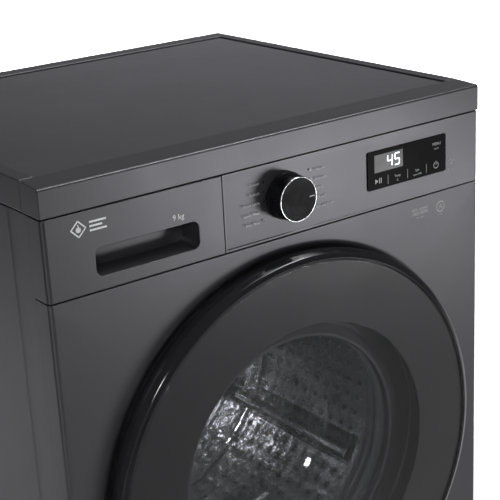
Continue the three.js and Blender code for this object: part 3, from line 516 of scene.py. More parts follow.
def drum_steel(name):
    """Rolled stainless steel, wet and pillow-embossed."""
    s = Surface(name, (0.78, 0.79, 0.81), 0.15, 1.0)
    around = s.stretched((1, 14, 1))
    s.vary(0.2, 14)
    s.vary_rough(0.07, 120, around)
    s.bump(s.noise(620, 3, coords=around), 0.06, 0.08 * MM)
    s.bump(s.spots(170), 0.5, 0.8 * MM)
    s.bump(s.spots(62, feature="SMOOTH_F1"), 0.7, 2.2 * MM)
    s.bump(s.noise(34, 3), 0.5, 3 * MM)
    return s.material


def spun_face(name, centre, color):
    """A face with the fine rings of a turning tool about the Y axis."""
    s = Surface(name, color, 0.3, 1.0, Anisotropic=0.75)
    tangent = s.node("ShaderNodeTangent", direction_type="RADIAL", axis="Y").outputs["Tangent"]
    s.tree.links.new(tangent, s.shader.inputs["Tangent"])
    flat = s.stretched((1, 0, 1), (-centre[0], 0, -centre[1]))
    radius = s.node("ShaderNodeVectorMath", {0: flat}, operation="LENGTH").outputs["Value"]
    ring = s.math("SINE", s.math("MULTIPLY", radius, 15000))
    s.vary(0.1, 30)
    s.vary_rough(0.05, 60)
    s.bump(ring, 0.12, 0.05 * MM)
    s.bump(s.noise(900, 2), 0.05, 0.05 * MM)
    return s.material


def glowing(name, color, strength):
    s = Surface(name, color, 0.4, 0.0, Emission_Strength=strength)
    s.shader.inputs["Emission Color"].default_value = (*color, 1)
    s.vary(0.08, 200)
    return s.material


def ink(name, color):
    s = Surface(name, color, 0.5)
    s.vary(0.1, 400)
    s.vary_rough(0.05, 200)
    s.bump(s.noise(2500, 2), 0.1, 0.02 * MM)
    return s.material


def circuit(name):
    s = Surface(name, (0.03, 0.12, 0.07), 0.45)
    lines = s.node("ShaderNodeTexBrick", {"Vector": s.stretched((1, 1, 1)), "Scale": 90}).outputs["Fac"]
    s.tint(s.math("MULTIPLY", lines, 0.6), (0.10, 0.26, 0.16))
    s.vary(0.15, 40)
    s.vary_rough(0.08, 90)
    s.bump(s.noise(700, 3), 0.2, 0.1 * MM)
    return s.material


def winding(name):
    s = Surface(name, (0.42, 0.17, 0.07), 0.35, 0.8)
    s.vary(0.2, 40)
    s.vary_rough(0.1, 80)
    s.bump(s.noise(300, 2, coords=s.stretched((1, 8, 1))), 0.4, 0.4 * MM)
    return s.material


GRAPHITE = (0.078, 0.077, 0.086)
PAINT = {
    "painted_steel": painted_metal("graphite_paint", GRAPHITE),
    "fascia": painted_metal("graphite_fascia", GRAPHITE, 0.33, 0.03),
    "top_board": board_laminate("grained_board", (0.058, 0.056, 0.064)),
    "gloss_black": polished_black("piano_black", (0.012, 0.012, 0.014)),
    "tinted_glass": clear("smoked_glass", (0.92, 0.92, 0.93), 0.024, 0.02),
    "clear_glass": clear("bowl_glass", (0.98, 0.985, 0.985), 0.025, 0.03),
    "stainless": metal("stainless_turned", (0.58, 0.59, 0.61), 0.24, (1, 12, 1)),
    "chrome": metal("bright_rim", (0.72, 0.73, 0.75), 0.12, (1, 10, 1), 500, 0.03),
    "galvanised": galvanised("galvanised_sheet"),
    "zinc_casting": casting("zinc_casting", (0.40, 0.41, 0.43)),
    "white_plastic": moulded("light_moulding", (0.60, 0.62, 0.64), 0.42, Subsurface_Weight=0.03),
    "tub_plastic": moulded("filled_moulding", (0.40, 0.42, 0.44), 0.55, 300, 0.3),
    "dark_plastic": moulded("dark_moulding", (0.028, 0.028, 0.032), 0.5, 700, 0.2),
    "grey_rubber": rubber("door_rubber", (0.15, 0.155, 0.165)),
    "concrete": cast_concrete("cast_concrete"),
    "copper_coils": winding("motor_winding"),
    "circuit": circuit("circuit_board"),
}
DRUM_METAL = drum_steel("drum_steel")
MASK = polished_black("glass_print", (0.006, 0.006, 0.007), 0.42, 0.4, 0.004)
DISPLAY_FACE = polished_black("display_face", (0.006, 0.006, 0.007), 0.25, 0.02, 0.01)
WATER = clear("water_drop", (0.92, 0.94, 0.96), 0.3, 0.015)
KNOB_FACE = spun_face("spun_black", (0, KNOB_Z), (0.009, 0.009, 0.0095))
KNOB_SIDE = metal("knob_side", (0.055, 0.055, 0.06), 0.3, (1, 1, 1), 600, 0.05)
BRIGHT_INK = ink("bright_ink", (0.93, 0.93, 0.94))
SOFT_INK = ink("soft_ink", (0.62, 0.62, 0.63))
LIT = glowing("display_light", (0.86, 0.93, 1.0), 1.6)
DIM = glowing("display_dim", (0.5, 0.5, 0.52), 0.12)
LCD = moulded("display_field", (0.035, 0.035, 0.037), 0.3, 400, 0.02)


# ---- Cabinet ----
def dished_sheet():
    """The front panel: a flat face with wrapped sides and a round dish with the door's opening."""
    bm = bmesh.new()
    half = PANEL_HI.x
    z0, z1 = PANEL_LO.z, PANEL_HI.z
    flat = half - CORNER
    dish = RING_R + DISH_LIP
    floor = dish - DISH_SLOPE
    corner_angles = [math.atan2(z - AXIS_Z, x) for x in (-flat, flat) for z in (z0, z1)]
    spokes = [math.radians(i * 2) - math.pi for i in range(180)]
    angles = sorted({round(a, 9) for a in corner_angles + spokes})

    def on_edge(a):
        """Where the ray at angle a meets the flat face's outline."""
        far = 9
        across = flat / abs(math.cos(a)) if abs(math.cos(a)) > 1e-9 else far
        side = (z1 if math.sin(a) > 0 else z0) - AXIS_Z
        up = side / math.sin(a) if abs(math.sin(a)) > 1e-9 else far
        r = min(across, up)
        return Vector((r * math.cos(a), FRONT_Y, AXIS_Z + r * math.sin(a)))

    slope = rounded([
        (dish + 4 * MM, 0), (dish - 5 * MM, 0), (floor + 1 * MM, DISH_DEPTH), (MOUTH_R, DISH_DEPTH),
    ], 14 * MM, 7, closed=False)
    rings = [[bm.verts.new(on_edge(a)) for a in angles]]
    for r, y in slope:
        rings.append([bm.verts.new((r * math.cos(a), FRONT_Y + y, AXIS_Z + r * math.sin(a))) for a in angles])
    count = len(angles)
    for outer, inner in zip(rings, rings[1:]):
        for i in range(count):
            j = (i + 1) % count
            bm.faces.new((outer[i], outer[j], inner[j], inner[i]))
    bend_steps = 8
    for side in (-1, 1):
        edge = sorted((v for v in rings[0] if abs(v.co.x - side * flat) < 1e-6), key=lambda v: v.co.z)
        run = [edge]
        for k in range(1, bend_steps + 1):
            turn = math.radians(90 * k / bend_steps)
            x = side * (flat + CORNER * math.sin(turn))
            y = FRONT_Y + CORNER * (1 - math.cos(turn))
            run.append([bm.verts.new((x, y, v.co.z)) for v in edge])
        run.append([bm.verts.new((side * half, PANEL_HI.y, v.co.z)) for v in edge])
        for a, b in zip(run, run[1:]):
            for i in range(len(a) - 1):
                bm.faces.new((a[i], a[i + 1], b[i + 1], b[i]))
    bmesh.ops.recalc_face_normals(bm, faces=bm.faces)
    if sum(f.normal.y * f.calc_area() for f in bm.faces) > 0:
        bmesh.ops.reverse_faces(bm, faces=bm.faces)
    obj = from_bmesh("front_sheet", bm, outward=False)
    wall = obj.modifiers.new("wall", "SOLIDIFY")
    wall.thickness = SHEET
    wall.offset = -1
    plain_mesh(obj)
    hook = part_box("door_hook")
    slot = block("hook_slot", (hook[0].x - 8 * MM, FRONT_Y, hook[0].z - 3 * MM),
                 (hook[1].x + 10 * MM, FRONT_Y + 0.03, hook[1].z + 5 * MM))
    carve(obj, [slot])
    lips = [
        block("lip", (-half + 8 * MM, FRONT_Y + SHEET, z - SHEET), (half - 8 * MM, FRONT_Y + 14 * MM, z))
        for z in (z0 + SHEET, z1)
    ]
    return merge("front_sheet", [obj, *lips])


EDGE_BEVELS = {  # in mm
    "side_panel_left": 0.45, "side_panel_right": 0.45, "lower_cover": 0.5, "filter_flap": 0.7,
    "lid_front_trim": 0.8, "top_rim": 1.2, "top_board": 0.8, "control_panel": 0.6,
    "drawer_front": 0.7, "detergent_drawer": 0.6,
    "dispenser_housing": 0.5, "door_lock": 0.5, "hinge_bracket": 0.5, "door_hinge_arm": 0.5,
    "door_hook": 0.6, "pump_filter_cap": 0.6, "rear_frame": 0.4, "back_cover": 0.0,
}


def levelling_foot(node):
    """A round pad and collar under a threaded stem."""
    _, hi, centre, r = upright(node)
    profile = rounded([
        (0, 0), (r - 3 * MM, 0), (r, 2 * MM), (r, 8 * MM), (r - 5 * MM, 11.5 * MM),
        (9 * MM, 12 * MM, 0), (9 * MM, 18 * MM), (5.2 * MM, 18.4 * MM, 0),
    ], 1.2 * MM, 4)
    crest, root, turns = 5 * MM, 4.4 * MM, 10
    for k in range(turns):
        z = (19 + k * 3) * MM
        profile += [Vector((crest, z)), Vector((root, z + 1.5 * MM))]
    profile += [Vector((root, hi.z)), Vector((0, hi.z))]
    stands_for(turned_z(node + "_turned", profile, 40, centre), node, PAINT["dark_plastic"])


def cabinet():
    stands_for(dished_sheet(), "front_panel", PAINT["painted_steel"])
    for node, bevel in EDGE_BEVELS.items():
        stands_for(broken_edges(node, bevel * MM), node, PAINT[SLOTS[node]])
    stands_for(broken_edges("display_window", 0.25 * MM), "display_window", DISPLAY_FACE)
    for corner in ("front_left", "front_right", "rear_left", "rear_right"):
        levelling_foot("foot_" + corner)


# ---- Door ----
def door_ring():
    r, g = RING_R, GLASS_R
    front, back = GLASS_LO.y, RING_HI.y
    seat = GLASS_HI.y + 0.3 * MM
    rear = r - 15 * MM
    ring = turned("door_ring_turned", rounded([
        (g + 0.5 * MM, front + 1.0 * MM, 0.3 * MM), (g + 2.6 * MM, front + 0.7 * MM, 1.2 * MM),
        (r - 4 * MM, front + 3 * MM, 4 * MM), (r, front + 10 * MM, 7 * MM),
        (r - 1.5 * MM, FRONT_Y - 6 * MM, 8 * MM), (rear, back, 2 * MM),
        (rear - 9 * MM, back, 0.5 * MM), (rear - 9 * MM, back - 2 * MM, 0),
        (r - 12 * MM, FRONT_Y - 2 * MM, 1 * MM), (r - 12 * MM, seat + 4 * MM, 1 * MM),
        (g - 12 * MM, seat + 4 * MM, 0.5 * MM), (g - 12 * MM, seat, 0.4 * MM), (g + 0.5 * MM, seat, 0),
    ], MM, 5), 192)
    arm_lo, arm_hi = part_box("door_hinge_arm")
    notch = block("notch", (-r - 5 * MM, front + 5.5 * MM, arm_lo.z - 2 * MM),
                  (-r + 60 * MM, back + 5 * MM, arm_hi.z + 2 * MM))
    fingers = block("fingers", (r - FINGER_DEPTH, FRONT_Y - 9 * MM, AXIS_Z - FINGER_HALF),
                    (r + 5 * MM, back + 5 * MM, AXIS_Z + FINGER_HALF))
    stands_for(carve(ring, [notch, fingers]), "door_ring", PAINT["gloss_black"])


def cover_glass():
    """The grey cover glass, with the black print behind its edge."""
    g, front, inner = GLASS_R, GLASS_LO.y, GLASS_HI.y
    glass = turned("door_glass_disc", rounded([
        (0, front), (g, front, 1.3 * MM), (g, inner, 0.5 * MM), (0, inner),
    ], 0, 5), 192)
    stands_for(glass, "door_cover_glass", PAINT["tinted_glass"])
    hole, rim = BOWL_R + 6 * MM, g - 0.4 * MM
    print_lo, print_hi = inner + 0.05 * MM, inner + 0.2 * MM
    mask = turned("door_mask", [(hole, print_lo), (rim, print_lo), (rim, print_hi), (hole, print_hi)])
    extra(mask, "door", MASK)


def door_frame():
    """The dark funnel behind the door, with a slot that the hook swings in."""
    lo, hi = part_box("door_inner_frame")
    w, y = BOWL_NECK_R, hi.y
    funnel = turned("door_funnel", rounded([
        (w, y), (w, lo.y, 1.2 * MM), (w + 4 * MM, lo.y, 1.2 * MM), (w + 16 * MM, y - 3.4 * MM, 5 * MM),
        (w + 38 * MM, y - 3.4 * MM, 1 * MM), (w + 40 * MM, y - 5.2 * MM, 1 * MM),
        (w + 44 * MM, y - 5.2 * MM, 1 * MM), (w + 46 * MM, y - 3.4 * MM, 1 * MM),
        (hi.x, y - 3 * MM, 0.5 * MM), (hi.x, y, 0.5 * MM),
    ], MM, 4))
    hook_lo, hook_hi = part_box("door_hook")
    slot = block("hook_slot", (hook_lo.x - 1.5 * MM, y - 8 * MM, AXIS_Z - 9 * MM),
                 (hook_hi.x + 1.5 * MM, y + 2 * MM, AXIS_Z + 9 * MM))
    stands_for(carve(funnel, [slot]), "door_inner_frame", PAINT["dark_plastic"])


def glass_bowl():
    w, y, end = BOWL_NECK_R, BOWL_LO.y, BOWL_HI.y
    bowl = turned("door_bowl_blown", rounded([
        (0, end), (w - 40 * MM, end - 4 * MM, 30 * MM), (w - 24 * MM, end - 20 * MM, 26 * MM),
        (w - 4 * MM, y + 16 * MM, 6 * MM), (w, y + 5 * MM, 3 * MM), (BOWL_R, y + 4 * MM, MM), (BOWL_R, y, MM),
        (w - 3 * MM, y, 4 * MM), (w - 8 * MM, y + 15 * MM, 6 * MM), (w - 28 * MM, end - 22 * MM, 24 * MM),
        (w - 42 * MM, end - 8.5 * MM, 28 * MM), (0, end - 4 * MM),
    ], MM, 8), 144)
    stands_for(bowl, "door_bowl", PAINT["clear_glass"])


def gasket():
    """The bellows between the cabinet's mouth and the tub."""
    y = FRONT_Y + DISH_DEPTH
    m, w = MOUTH_R, BOWL_NECK_R
    end = GASKET_HI.y
    line = rounded([
        (m + 5 * MM, y - 1.9 * MM), (m - 2.4 * MM, y - 1.9 * MM), (m - 2.4 * MM, y + 7 * MM),
        (w + 6 * MM, y + 13 * MM), (w + 5 * MM, y + 18 * MM), (m - 6 * MM, y + 24 * MM),
        (m - 8 * MM, y + 31 * MM), (w + 12 * MM, y + 36 * MM), (m - 14 * MM, y + 41.5 * MM),
        (m - 10.6 * MM, end - 2 * MM),
    ], 5 * MM, 5, closed=False)
    skin = turned("gasket_bellows", band(line, 2.4 * MM), 144)
    stretches(skin, "door_gasket", "grey_rubber")


def coil_spring(side):
    """A close-wound suspension spring with a hook at each end."""
    node = "suspension_spring_" + side
    lo, hi, (x, y), outer = upright(node)
    r = outer - 2.2 * MM
    turns, per_turn = 12, 20
    hook = 12 * MM
    points = [Vector((x, y, hi.z)), Vector((x, y, hi.z - hook * 0.7))]
    z1, z0 = hi.z - hook, lo.z + hook
    for i in range(turns * per_turn + 1):
        a = 2 * math.pi * i / per_turn
        z = z1 + (z0 - z1) * i / turns / per_turn
        points.append(Vector((x + r * math.cos(a), y + r * math.sin(a), z)))
    points += [Vector((x, y, lo.z + hook * 0.7)), Vector((x, y, lo.z))]
    curve = bpy.data.curves.new(node + "_wire", "CURVE")
    curve.dimensions = "3D"
    curve.bevel_depth = 1.9 * MM
    curve.bevel_resolution = 2
    curve.use_fill_caps = True
    spline = curve.splines.new("POLY")
    spline.points.add(len(points) - 1)
    for target, point in zip(spline.points, points):
        target.co = (*point, 1)
    wire = object_from(node + "_wire", curve)
    deps = bpy.context.evaluated_depsgraph_get()
    mesh = bpy.data.meshes.new_from_object(wire.evaluated_get(deps))
    bpy.data.objects.remove(wire)
    spring = object_from(node + "_wound", mesh)
    stretches(spring, node, "galvanised")


def sump_hose():
    """The folded hose from the tub's sump to the pump."""
    lo, hi, centre, r = upright("sump_bellows")
    valley, crest = r - 5 * MM, r - 1.4 * MM
    end = 12 * MM
    folds = 7
    pitch = (hi.z - lo.z - 2 * end) / folds
    line = [(valley, lo.z), (valley, lo.z + end)]
    for i in range(folds):
        line += [(crest, lo.z + end + (i + 0.5) * pitch), (valley, lo.z + end + (i + 1) * pitch)]
    line.append((valley, hi.z))
    skin = turned_z("sump_hose_bellows", band(rounded(line, 3 * MM, 4, closed=False), 2.4 * MM), 48, centre)
    stretches(skin, "sump_bellows", "grey_rubber")


# ---- Repeats, by Geometry Nodes ----
class Nodes:
    """A Geometry Nodes group with named inputs, used once as a modifier and then applied."""

    def __init__(self, name, **inputs):
        self.group = bpy.data.node_groups.new(name, "GeometryNodeTree")
        face = self.group.interface
        face.new_socket("Geometry", in_out="INPUT", socket_type="NodeSocketGeometry")
        face.new_socket("Geometry", in_out="OUTPUT", socket_type="NodeSocketGeometry")
        self.values = {}
        for label, (kind, value) in inputs.items():
            item = face.new_socket(label, in_out="INPUT", socket_type="NodeSocket" + kind)
            self.values[item.identifier] = value
        self.source = self.group.nodes.new("NodeGroupInput")

    def add(self, kind, inputs=None, **settings):
        return add_node(self.group, kind, inputs, settings)

    def given(self, label):
        return self.source.outputs[label]

    def math(self, operation, a, b=0.0):
        return self.add("ShaderNodeMath", {0: a, 1: b}, operation=operation).outputs[0]

    def copies(self, label, points, **how):
        """The object that input label holds, copied to points and made real."""
        shape = self.add("GeometryNodeObjectInfo", {"Object": self.given(label)}).outputs["Geometry"]
        placed = self.add("GeometryNodeInstanceOnPoints", {"Points": points, "Instance": shape, **how})
        real = self.add("GeometryNodeRealizeInstances", {"Geometry": placed.outputs["Instances"]})
        return real.outputs["Geometry"]

    def apply(self, obj, geometry):
        """Gives the geometry the material of input Finish, and leaves it on obj as a plain mesh."""
        done = self.add("GeometryNodeSetMaterial", {"Geometry": geometry, "Material": self.given("Finish")})
        end = self.group.nodes.new("NodeGroupOutput")
        self.group.links.new(done.outputs["Geometry"], end.inputs[0])
        step = obj.modifiers.new(self.group.name, "NODES")
        step.node_group = self.group
        for key, value in self.values.items():
            step[key] = value
        return plain_mesh(obj)


def repeated(name, places, shape, material, size=1.0):
    """Copies of shape at places, a list of (position, turn, growth)."""
    mesh = bpy.data.meshes.new(name)
    mesh.from_pydata([place[0] for place in places], [], [])
    mesh.attributes.new("turn", "FLOAT_VECTOR", "POINT")
    mesh.attributes.new("growth", "FLOAT", "POINT")
    for i, (_, turn, growth) in enumerate(places):
        mesh.attributes["turn"].data[i].vector = turn
        mesh.attributes["growth"].data[i].value = growth
    obj = object_from(name, mesh)
    g = Nodes(name + "_copies", Shape=("Object", shape), Size=("Float", size), Finish=("Material", material))
    turn, growth = [
        g.add("GeometryNodeInputNamedAttribute", {"Name": label}, data_type=kind).outputs["Attribute"]
        for label, kind in (("turn", "FLOAT_VECTOR"), ("growth", "FLOAT"))
    ]
    scale = g.math("MULTIPLY", growth, g.given("Size"))
    g.apply(obj, g.copies("Shape", g.given("Geometry"), Rotation=turn, Scale=scale))
    bpy.data.objects.remove(shape)
    return obj


def screw_shape():
    """A pan-head screw that looks along +Z, with a dimpled head."""
    sides = 16
    head = ((4.0, 0.0), (4.0, 0.7), (3.2, 1.7), (1.2, 2.2))
    bm = bmesh.new()
    for r, z in head:
        bmesh.ops.create_circle(bm, segments=sides, radius=r * MM, matrix=Matrix.Translation((0, 0, z * MM)))
    bm.verts.ensure_lookup_table()
    rings = [bm.verts[i * sides:(i + 1) * sides] for i in range(len(head))]
    for a, b in zip(rings, rings[1:]):
        for i in range(sides):
            bm.faces.new((a[i], a[(i + 1) % sides], b[(i + 1) % sides], b[i]))
    pit = bm.verts.new((0, 0, 1.2 * MM))
    top = rings[-1]
    for i in range(sides):
        bm.faces.new((top[i], top[(i + 1) % sides], pit))
    bm.faces.new(rings[0][::-1])
    return from_bmesh("screw_shape", bm)


# ---- Drum ----
def perforated_shell(radius, y0, y1):
    """The drum's sheet: dimpled square cells, each with a water hole, wrapped round the axis."""
    pitch_wanted = 21 * MM
    columns = round(2 * math.pi * radius / pitch_wanted)
    rows = round((y1 - y0) / pitch_wanted)
    px, py = 2 * math.pi * radius / columns, (y1 - y0) / rows
    square = [(-1, -1), (0, -1), (1, -1), (1, 0), (1, 1), (0, 1), (-1, 1), (-1, 0)]
    bm = bmesh.new()
    outline = [(x * px / 2, y * py / 2) for x, y in square]

    def ring(r, z):
        turned_by = [math.atan2(y, x) for x, y in outline]
        return [bm.verts.new((r * math.cos(a), r * math.sin(a), z)) for a in turned_by]

    inside = [bm.verts.new((x, y, 0)) for x, y in outline]
    outside = [bm.verts.new((x, y, 0.7 * MM)) for x, y in outline]
    levels = [inside, ring(6.4 * MM, 0.1 * MM), ring(4 * MM, 1.3 * MM), ring(1.9 * MM, 2.3 * MM),
              ring(1.9 * MM, 3 * MM), ring(4 * MM, 2.0 * MM), ring(6.4 * MM, 0.8 * MM), outside]
    for a, b in zip(levels, levels[1:]):
        for i in range(8):
            bm.faces.new((a[i], b[i], b[(i + 1) % 8], a[(i + 1) % 8]))
    cell = bpy.data.meshes.new("drum_cell")
    bm.to_mesh(cell)
    bm.free()
    cell_obj = object_from("drum_cell", cell)
    shell = object_from("drum_shell", bpy.data.meshes.new("drum_shell"))
    g = Nodes("perforated_drum", Cell=("Object", cell_obj), Columns=("Int", columns), Rows=("Int", rows),
              Radius=("Float", radius), Pitch_Around=("Float", px), Pitch_Along=("Float", py),
              Finish=("Material", DRUM_METAL))
    wide = g.math("MULTIPLY", g.given("Pitch_Around"), g.math("SUBTRACT", g.given("Columns"), 1.0))
    deep = g.math("MULTIPLY", g.given("Pitch_Along"), g.math("SUBTRACT", g.given("Rows"), 1.0))
    grid = g.add("GeometryNodeMeshGrid", {
        "Size X": wide, "Size Y": deep, "Vertices X": g.given("Columns"), "Vertices Y": g.given("Rows")})
    cells = g.copies("Cell", grid.outputs["Mesh"])
    at = g.add("ShaderNodeSeparateXYZ", {0: g.add("GeometryNodeInputPosition").outputs["Position"]})
    angle = g.math("DIVIDE", at.outputs["X"], g.math("MULTIPLY", g.given("Radius"), -1.0))
    reach = g.math("ADD", g.given("Radius"), at.outputs["Z"])
    wrapped = g.add("ShaderNodeCombineXYZ", {
        "X": g.math("MULTIPLY", reach, g.math("COSINE", angle)), "Y": at.outputs["Y"],
        "Z": g.math("MULTIPLY", reach, g.math("SINE", angle))}).outputs["Vector"]
    bent = g.add("GeometryNodeSetPosition", {"Geometry": cells, "Position": wrapped}).outputs["Geometry"]
    sewn = g.add("GeometryNodeMergeByDistance", {"Geometry": bent, "Distance": 0.05 * MM})
    g.apply(shell, sewn.outputs["Geometry"])
    bpy.data.objects.remove(cell_obj)
    shell.data.transform(Matrix.Translation((0, (y0 + y1) / 2, AXIS_Z)))
    return shell


def drum():
    y0, y1 = DRUM_LO.y, DRUM_HI.y
    shell_r = DRUM_R - 5 * MM
    outer, mouth = shell_r + 0.4 * MM, DRUM_MOUTH_R
    shell = perforated_shell(shell_r, y0 + 17 * MM, y1 - 14 * MM)
    front = turned("drum_front", band(rounded([
        (mouth + 5 * MM, y0 + 14 * MM), (mouth + 0.8 * MM, y0 + 14 * MM), (mouth + 0.8 * MM, y0 + 1 * MM),
        (DRUM_R - 1 * MM, y0 + 1 * MM), (DRUM_R - 1 * MM, y0 + 12 * MM), (outer, y0 + 14 * MM),
        (outer, y0 + 17 * MM),
    ], 6 * MM, 5, closed=False), 1.2 * MM))
    ribs = [(outer, y1 - 14 * MM), (outer, y1 - 4 * MM), (shell_r - 12 * MM, y1 - 1 * MM)]
    ripples = ((190, 1), (182, 5), (150, 5), (143, 1), (112, 1), (105, 5),
               (88, 5), (80, 1), (58, 1), (50, 6), (0, 6))  # of the drum's back: radius and height, in mm
    ribs += [(r * MM, y1 - y * MM) for r, y in ripples]
    line = rounded(ribs, 6 * MM, 4, closed=False)
    back = [(p.x, p.y + 0.6 * MM) for p in line]
    rear = turned("drum_rear", [(p.x, p.y - 0.6 * MM) for p in line] + back[::-1], 128)
    whole = merge("drum_finished", [shell, front, rear])
    whole.data.shade_smooth()
    whole.data.set_sharp_from_angle(angle=math.radians(50))
    stands_for(whole, "drum", DRUM_METAL)
    for i in (1, 2, 3):
        node = f"lifter_{i}"
        stands_for(broken_edges(node, 5 * MM, segments=5), node, DRUM_METAL)
    wet_drum(shell_r, y0 + 20 * MM, y1 - 8 * MM)


def wet_drum(radius, y0, y1):
    """Drops of water that cling to the drum's wall and back, each a flat cap."""
    chance = random.Random(11)
    bm = bmesh.new()
    bmesh.ops.create_uvsphere(bm, u_segments=8, v_segments=5, radius=1 * MM)
    bmesh.ops.scale(bm, vec=(1, 1, 0.55), verts=bm.verts)
    drop = from_bmesh("drop_shape", bm)
    places = []
    for _ in range(WALL_DROPS):
        a = chance.uniform(0, 2 * math.pi)
        y = chance.uniform(y0, y1)
        r = radius - 0.3 * MM
        spot = (r * math.cos(a), y, AXIS_Z + r * math.sin(a))
        places.append((spot, (0, -a - math.pi / 2, 0), chance.uniform(0.8, 2.2)))
    for _ in range(BACK_DROPS):
        a = chance.uniform(0, 2 * math.pi)
        r = radius * math.sqrt(chance.uniform(0.05, 0.94))
        spot = (r * math.cos(a), y1, AXIS_Z + r * math.sin(a))
        places.append((spot, (math.pi / 2, 0, 0), chance.uniform(0.8, 2.4)))
    extra(repeated("drum_drops", places, drop, WATER), "drum_unit", WATER)


# ---- Controls ----
def knob():
    """The programme knob: a black body, a bright rim, and a face turned in fine rings."""
    y, back, r = KNOB_LO.y, KNOB_HI.y, KNOB_R
    face = r - 2 * MM
    axis = (0, KNOB_Z)
    body = turned("knob_body", rounded([
        (0, y + 0.9 * MM), (face - 0.6 * MM, y + 0.9 * MM, 0), (face - 0.6 * MM, y + 0.6 * MM, 0),
        (face - 0.2 * MM, y + 0.6 * MM, 0), (face + 0.5 * MM, y + 6 * MM, 3 * MM),
        (r - 0.5 * MM, back - 3 * MM, 2 * MM), (r, back - 2 * MM, 0.8 * MM), (r, back, 0.4 * MM), (0, back),
    ], 0, 4), 128, axis)
    stands_for(body, "program_knob", KNOB_SIDE)
    rim = turned("knob_rim", rounded([
        (face - 0.9 * MM, y + 0.9 * MM), (face - 0.9 * MM, y + 0.1 * MM, 0.2 * MM),
        (face - 0.1 * MM, y, 0.3 * MM), (face + 0.35 * MM, y + 0.9 * MM, 0.3 * MM),
        (face + 0.1 * MM, y + 1.6 * MM),
    ], 0, 4), 128, axis)
    extra(rim, "knob", PAINT["chrome"])
    dial_r, dial_y, dial_back = face - 0.95 * MM, y + 0.5 * MM, y + 0.88 * MM
    dial = turned("knob_dial", [(0, dial_y), (dial_r, dial_y), (dial_r, dial_back), (0, dial_back)], 96, axis)
    extra(dial, "knob", KNOB_FACE)
    mark = block("knob_pointer", (-0.6 * MM, y + 0.4 * MM, KNOB_Z + face * 0.62),
                 (0.6 * MM, y + 0.6 * MM, KNOB_Z + face * 0.9))
    mark.data.transform(Matrix.Translation((0, 0, KNOB_Z)) @ Matrix.Rotation(math.radians(90), 4, "Y")
                        @ Matrix.Translation((0, 0, -KNOB_Z)))
    extra(mark, "knob", SOFT_INK)


class Print:
    """Flat graphics on a face that looks along -Y, in mm: x from the middle, z from near the lid's top."""

    def __init__(self, name, face_y):
        self.name = name
        self.y = face_y
        self.bm = bmesh.new()

    @staticmethod
    def place(x, z):
        return x * MM, LID_TOP + (z - PRINT_DROP) * MM

    def shape(self, points):
        """A filled outline."""
        front, back = [], []
        for x, z in points:
            px, pz = self.place(x, z)
            front.append(self.bm.verts.new((px, self.y - PRINT, pz)))
            back.append(self.bm.verts.new((px, self.y + PRINT / 4, pz)))
        self.bm.faces.new(front)
        self.bm.faces.new(back[::-1])
        for i in range(len(front)):
            j = (i + 1) % len(front)
            self.bm.faces.new((front[j], front[i], back[i], back[j]))
        return self

    def line(self, points, width):
        for a, b in zip(points, points[1:]):
            d = (Vector(b) - Vector(a)).normalized() * width / 2
            n = Vector((-d.y, d.x))
            a0, b0 = Vector(a) - d * 0.3, Vector(b) + d * 0.3
            self.shape([a0 + n, b0 + n, b0 - n, a0 - n])
        return self

    def arc(self, x, z, r, width, start=0, end=360, steps=28):
        run = [math.radians(start + (end - start) * i / steps) for i in range(steps + 1)]
        for a, b in zip(run, run[1:]):
            corners = ((r + width / 2, a), (r + width / 2, b), (r - width / 2, b), (r - width / 2, a))
            self.shape([(x + q * math.cos(t), z + q * math.sin(t)) for q, t in corners])
        return self

    def dot(self, x, z, r):
        steps = 14
        run = [2 * math.pi * i / steps for i in range(steps)]
        return self.shape([(x + r * math.cos(a), z + r * math.sin(a)) for a in run])

    def text(self, words, x, z, size, align="LEFT"):
        font = bpy.data.curves.new(self.name, "FONT")
        font.body = words
        font.size = size * MM
        font.align_x = align
        font.align_y = "CENTER"
        font.extrude = PRINT / 2
        font.resolution_u = 2
        made = object_from(self.name, font)
        px, pz = self.place(x, z)
        spot = Matrix.Translation((px, self.y - PRINT / 2, pz))
        made.matrix_world = spot @ Matrix.Rotation(math.pi / 2, 4, "X")
        bpy.context.view_layer.update()
        mesh = bpy.data.meshes.new_from_object(made.evaluated_get(bpy.context.evaluated_depsgraph_get()))
        mesh.transform(made.matrix_world)
        self.bm.from_mesh(mesh)
        bpy.data.objects.remove(made)
        return self

    def done(self, body, material, slot):
        bmesh.ops.remove_doubles(self.bm, verts=self.bm.verts, dist=1e-7)
        extra(from_bmesh(self.name, self.bm, outward=False), body, material)


def seven_segments(ink_print, digit, x, z):
    """One digit, with its lower left corner at x, z. Sizes are in mm."""
    tall, width, stroke = 13.6, 7.2, 1.5
    lean, gap = 0.06, 0.5
    a, b, m = 0, width, tall / 2
    runs = {"top": [(a, tall), (b, tall)], "middle": [(a, m), (b, m)], "bottom": [(a, 0), (b, 0)],
            "upper left": [(a, m), (a, tall)], "upper right": [(b, m), (b, tall)],
            "lower left": [(a, 0), (a, m)], "lower right": [(b, 0), (b, m)]}
    lit = {4: ("upper left", "upper right", "middle", "lower right"),
           5: ("top", "upper left", "middle", "lower right", "bottom")}[digit]
    for name in lit:
        (x0, z0), (x1, z1) = runs[name]
        if x0 == x1:
            z0, z1 = z0 + gap, z1 - gap
        else:
            x0, x1 = x0 + gap, x1 - gap
        ink_print.line([(x + x0 + z0 * lean, z + z0), (x + x1 + z1 * lean, z + z1)], stroke)


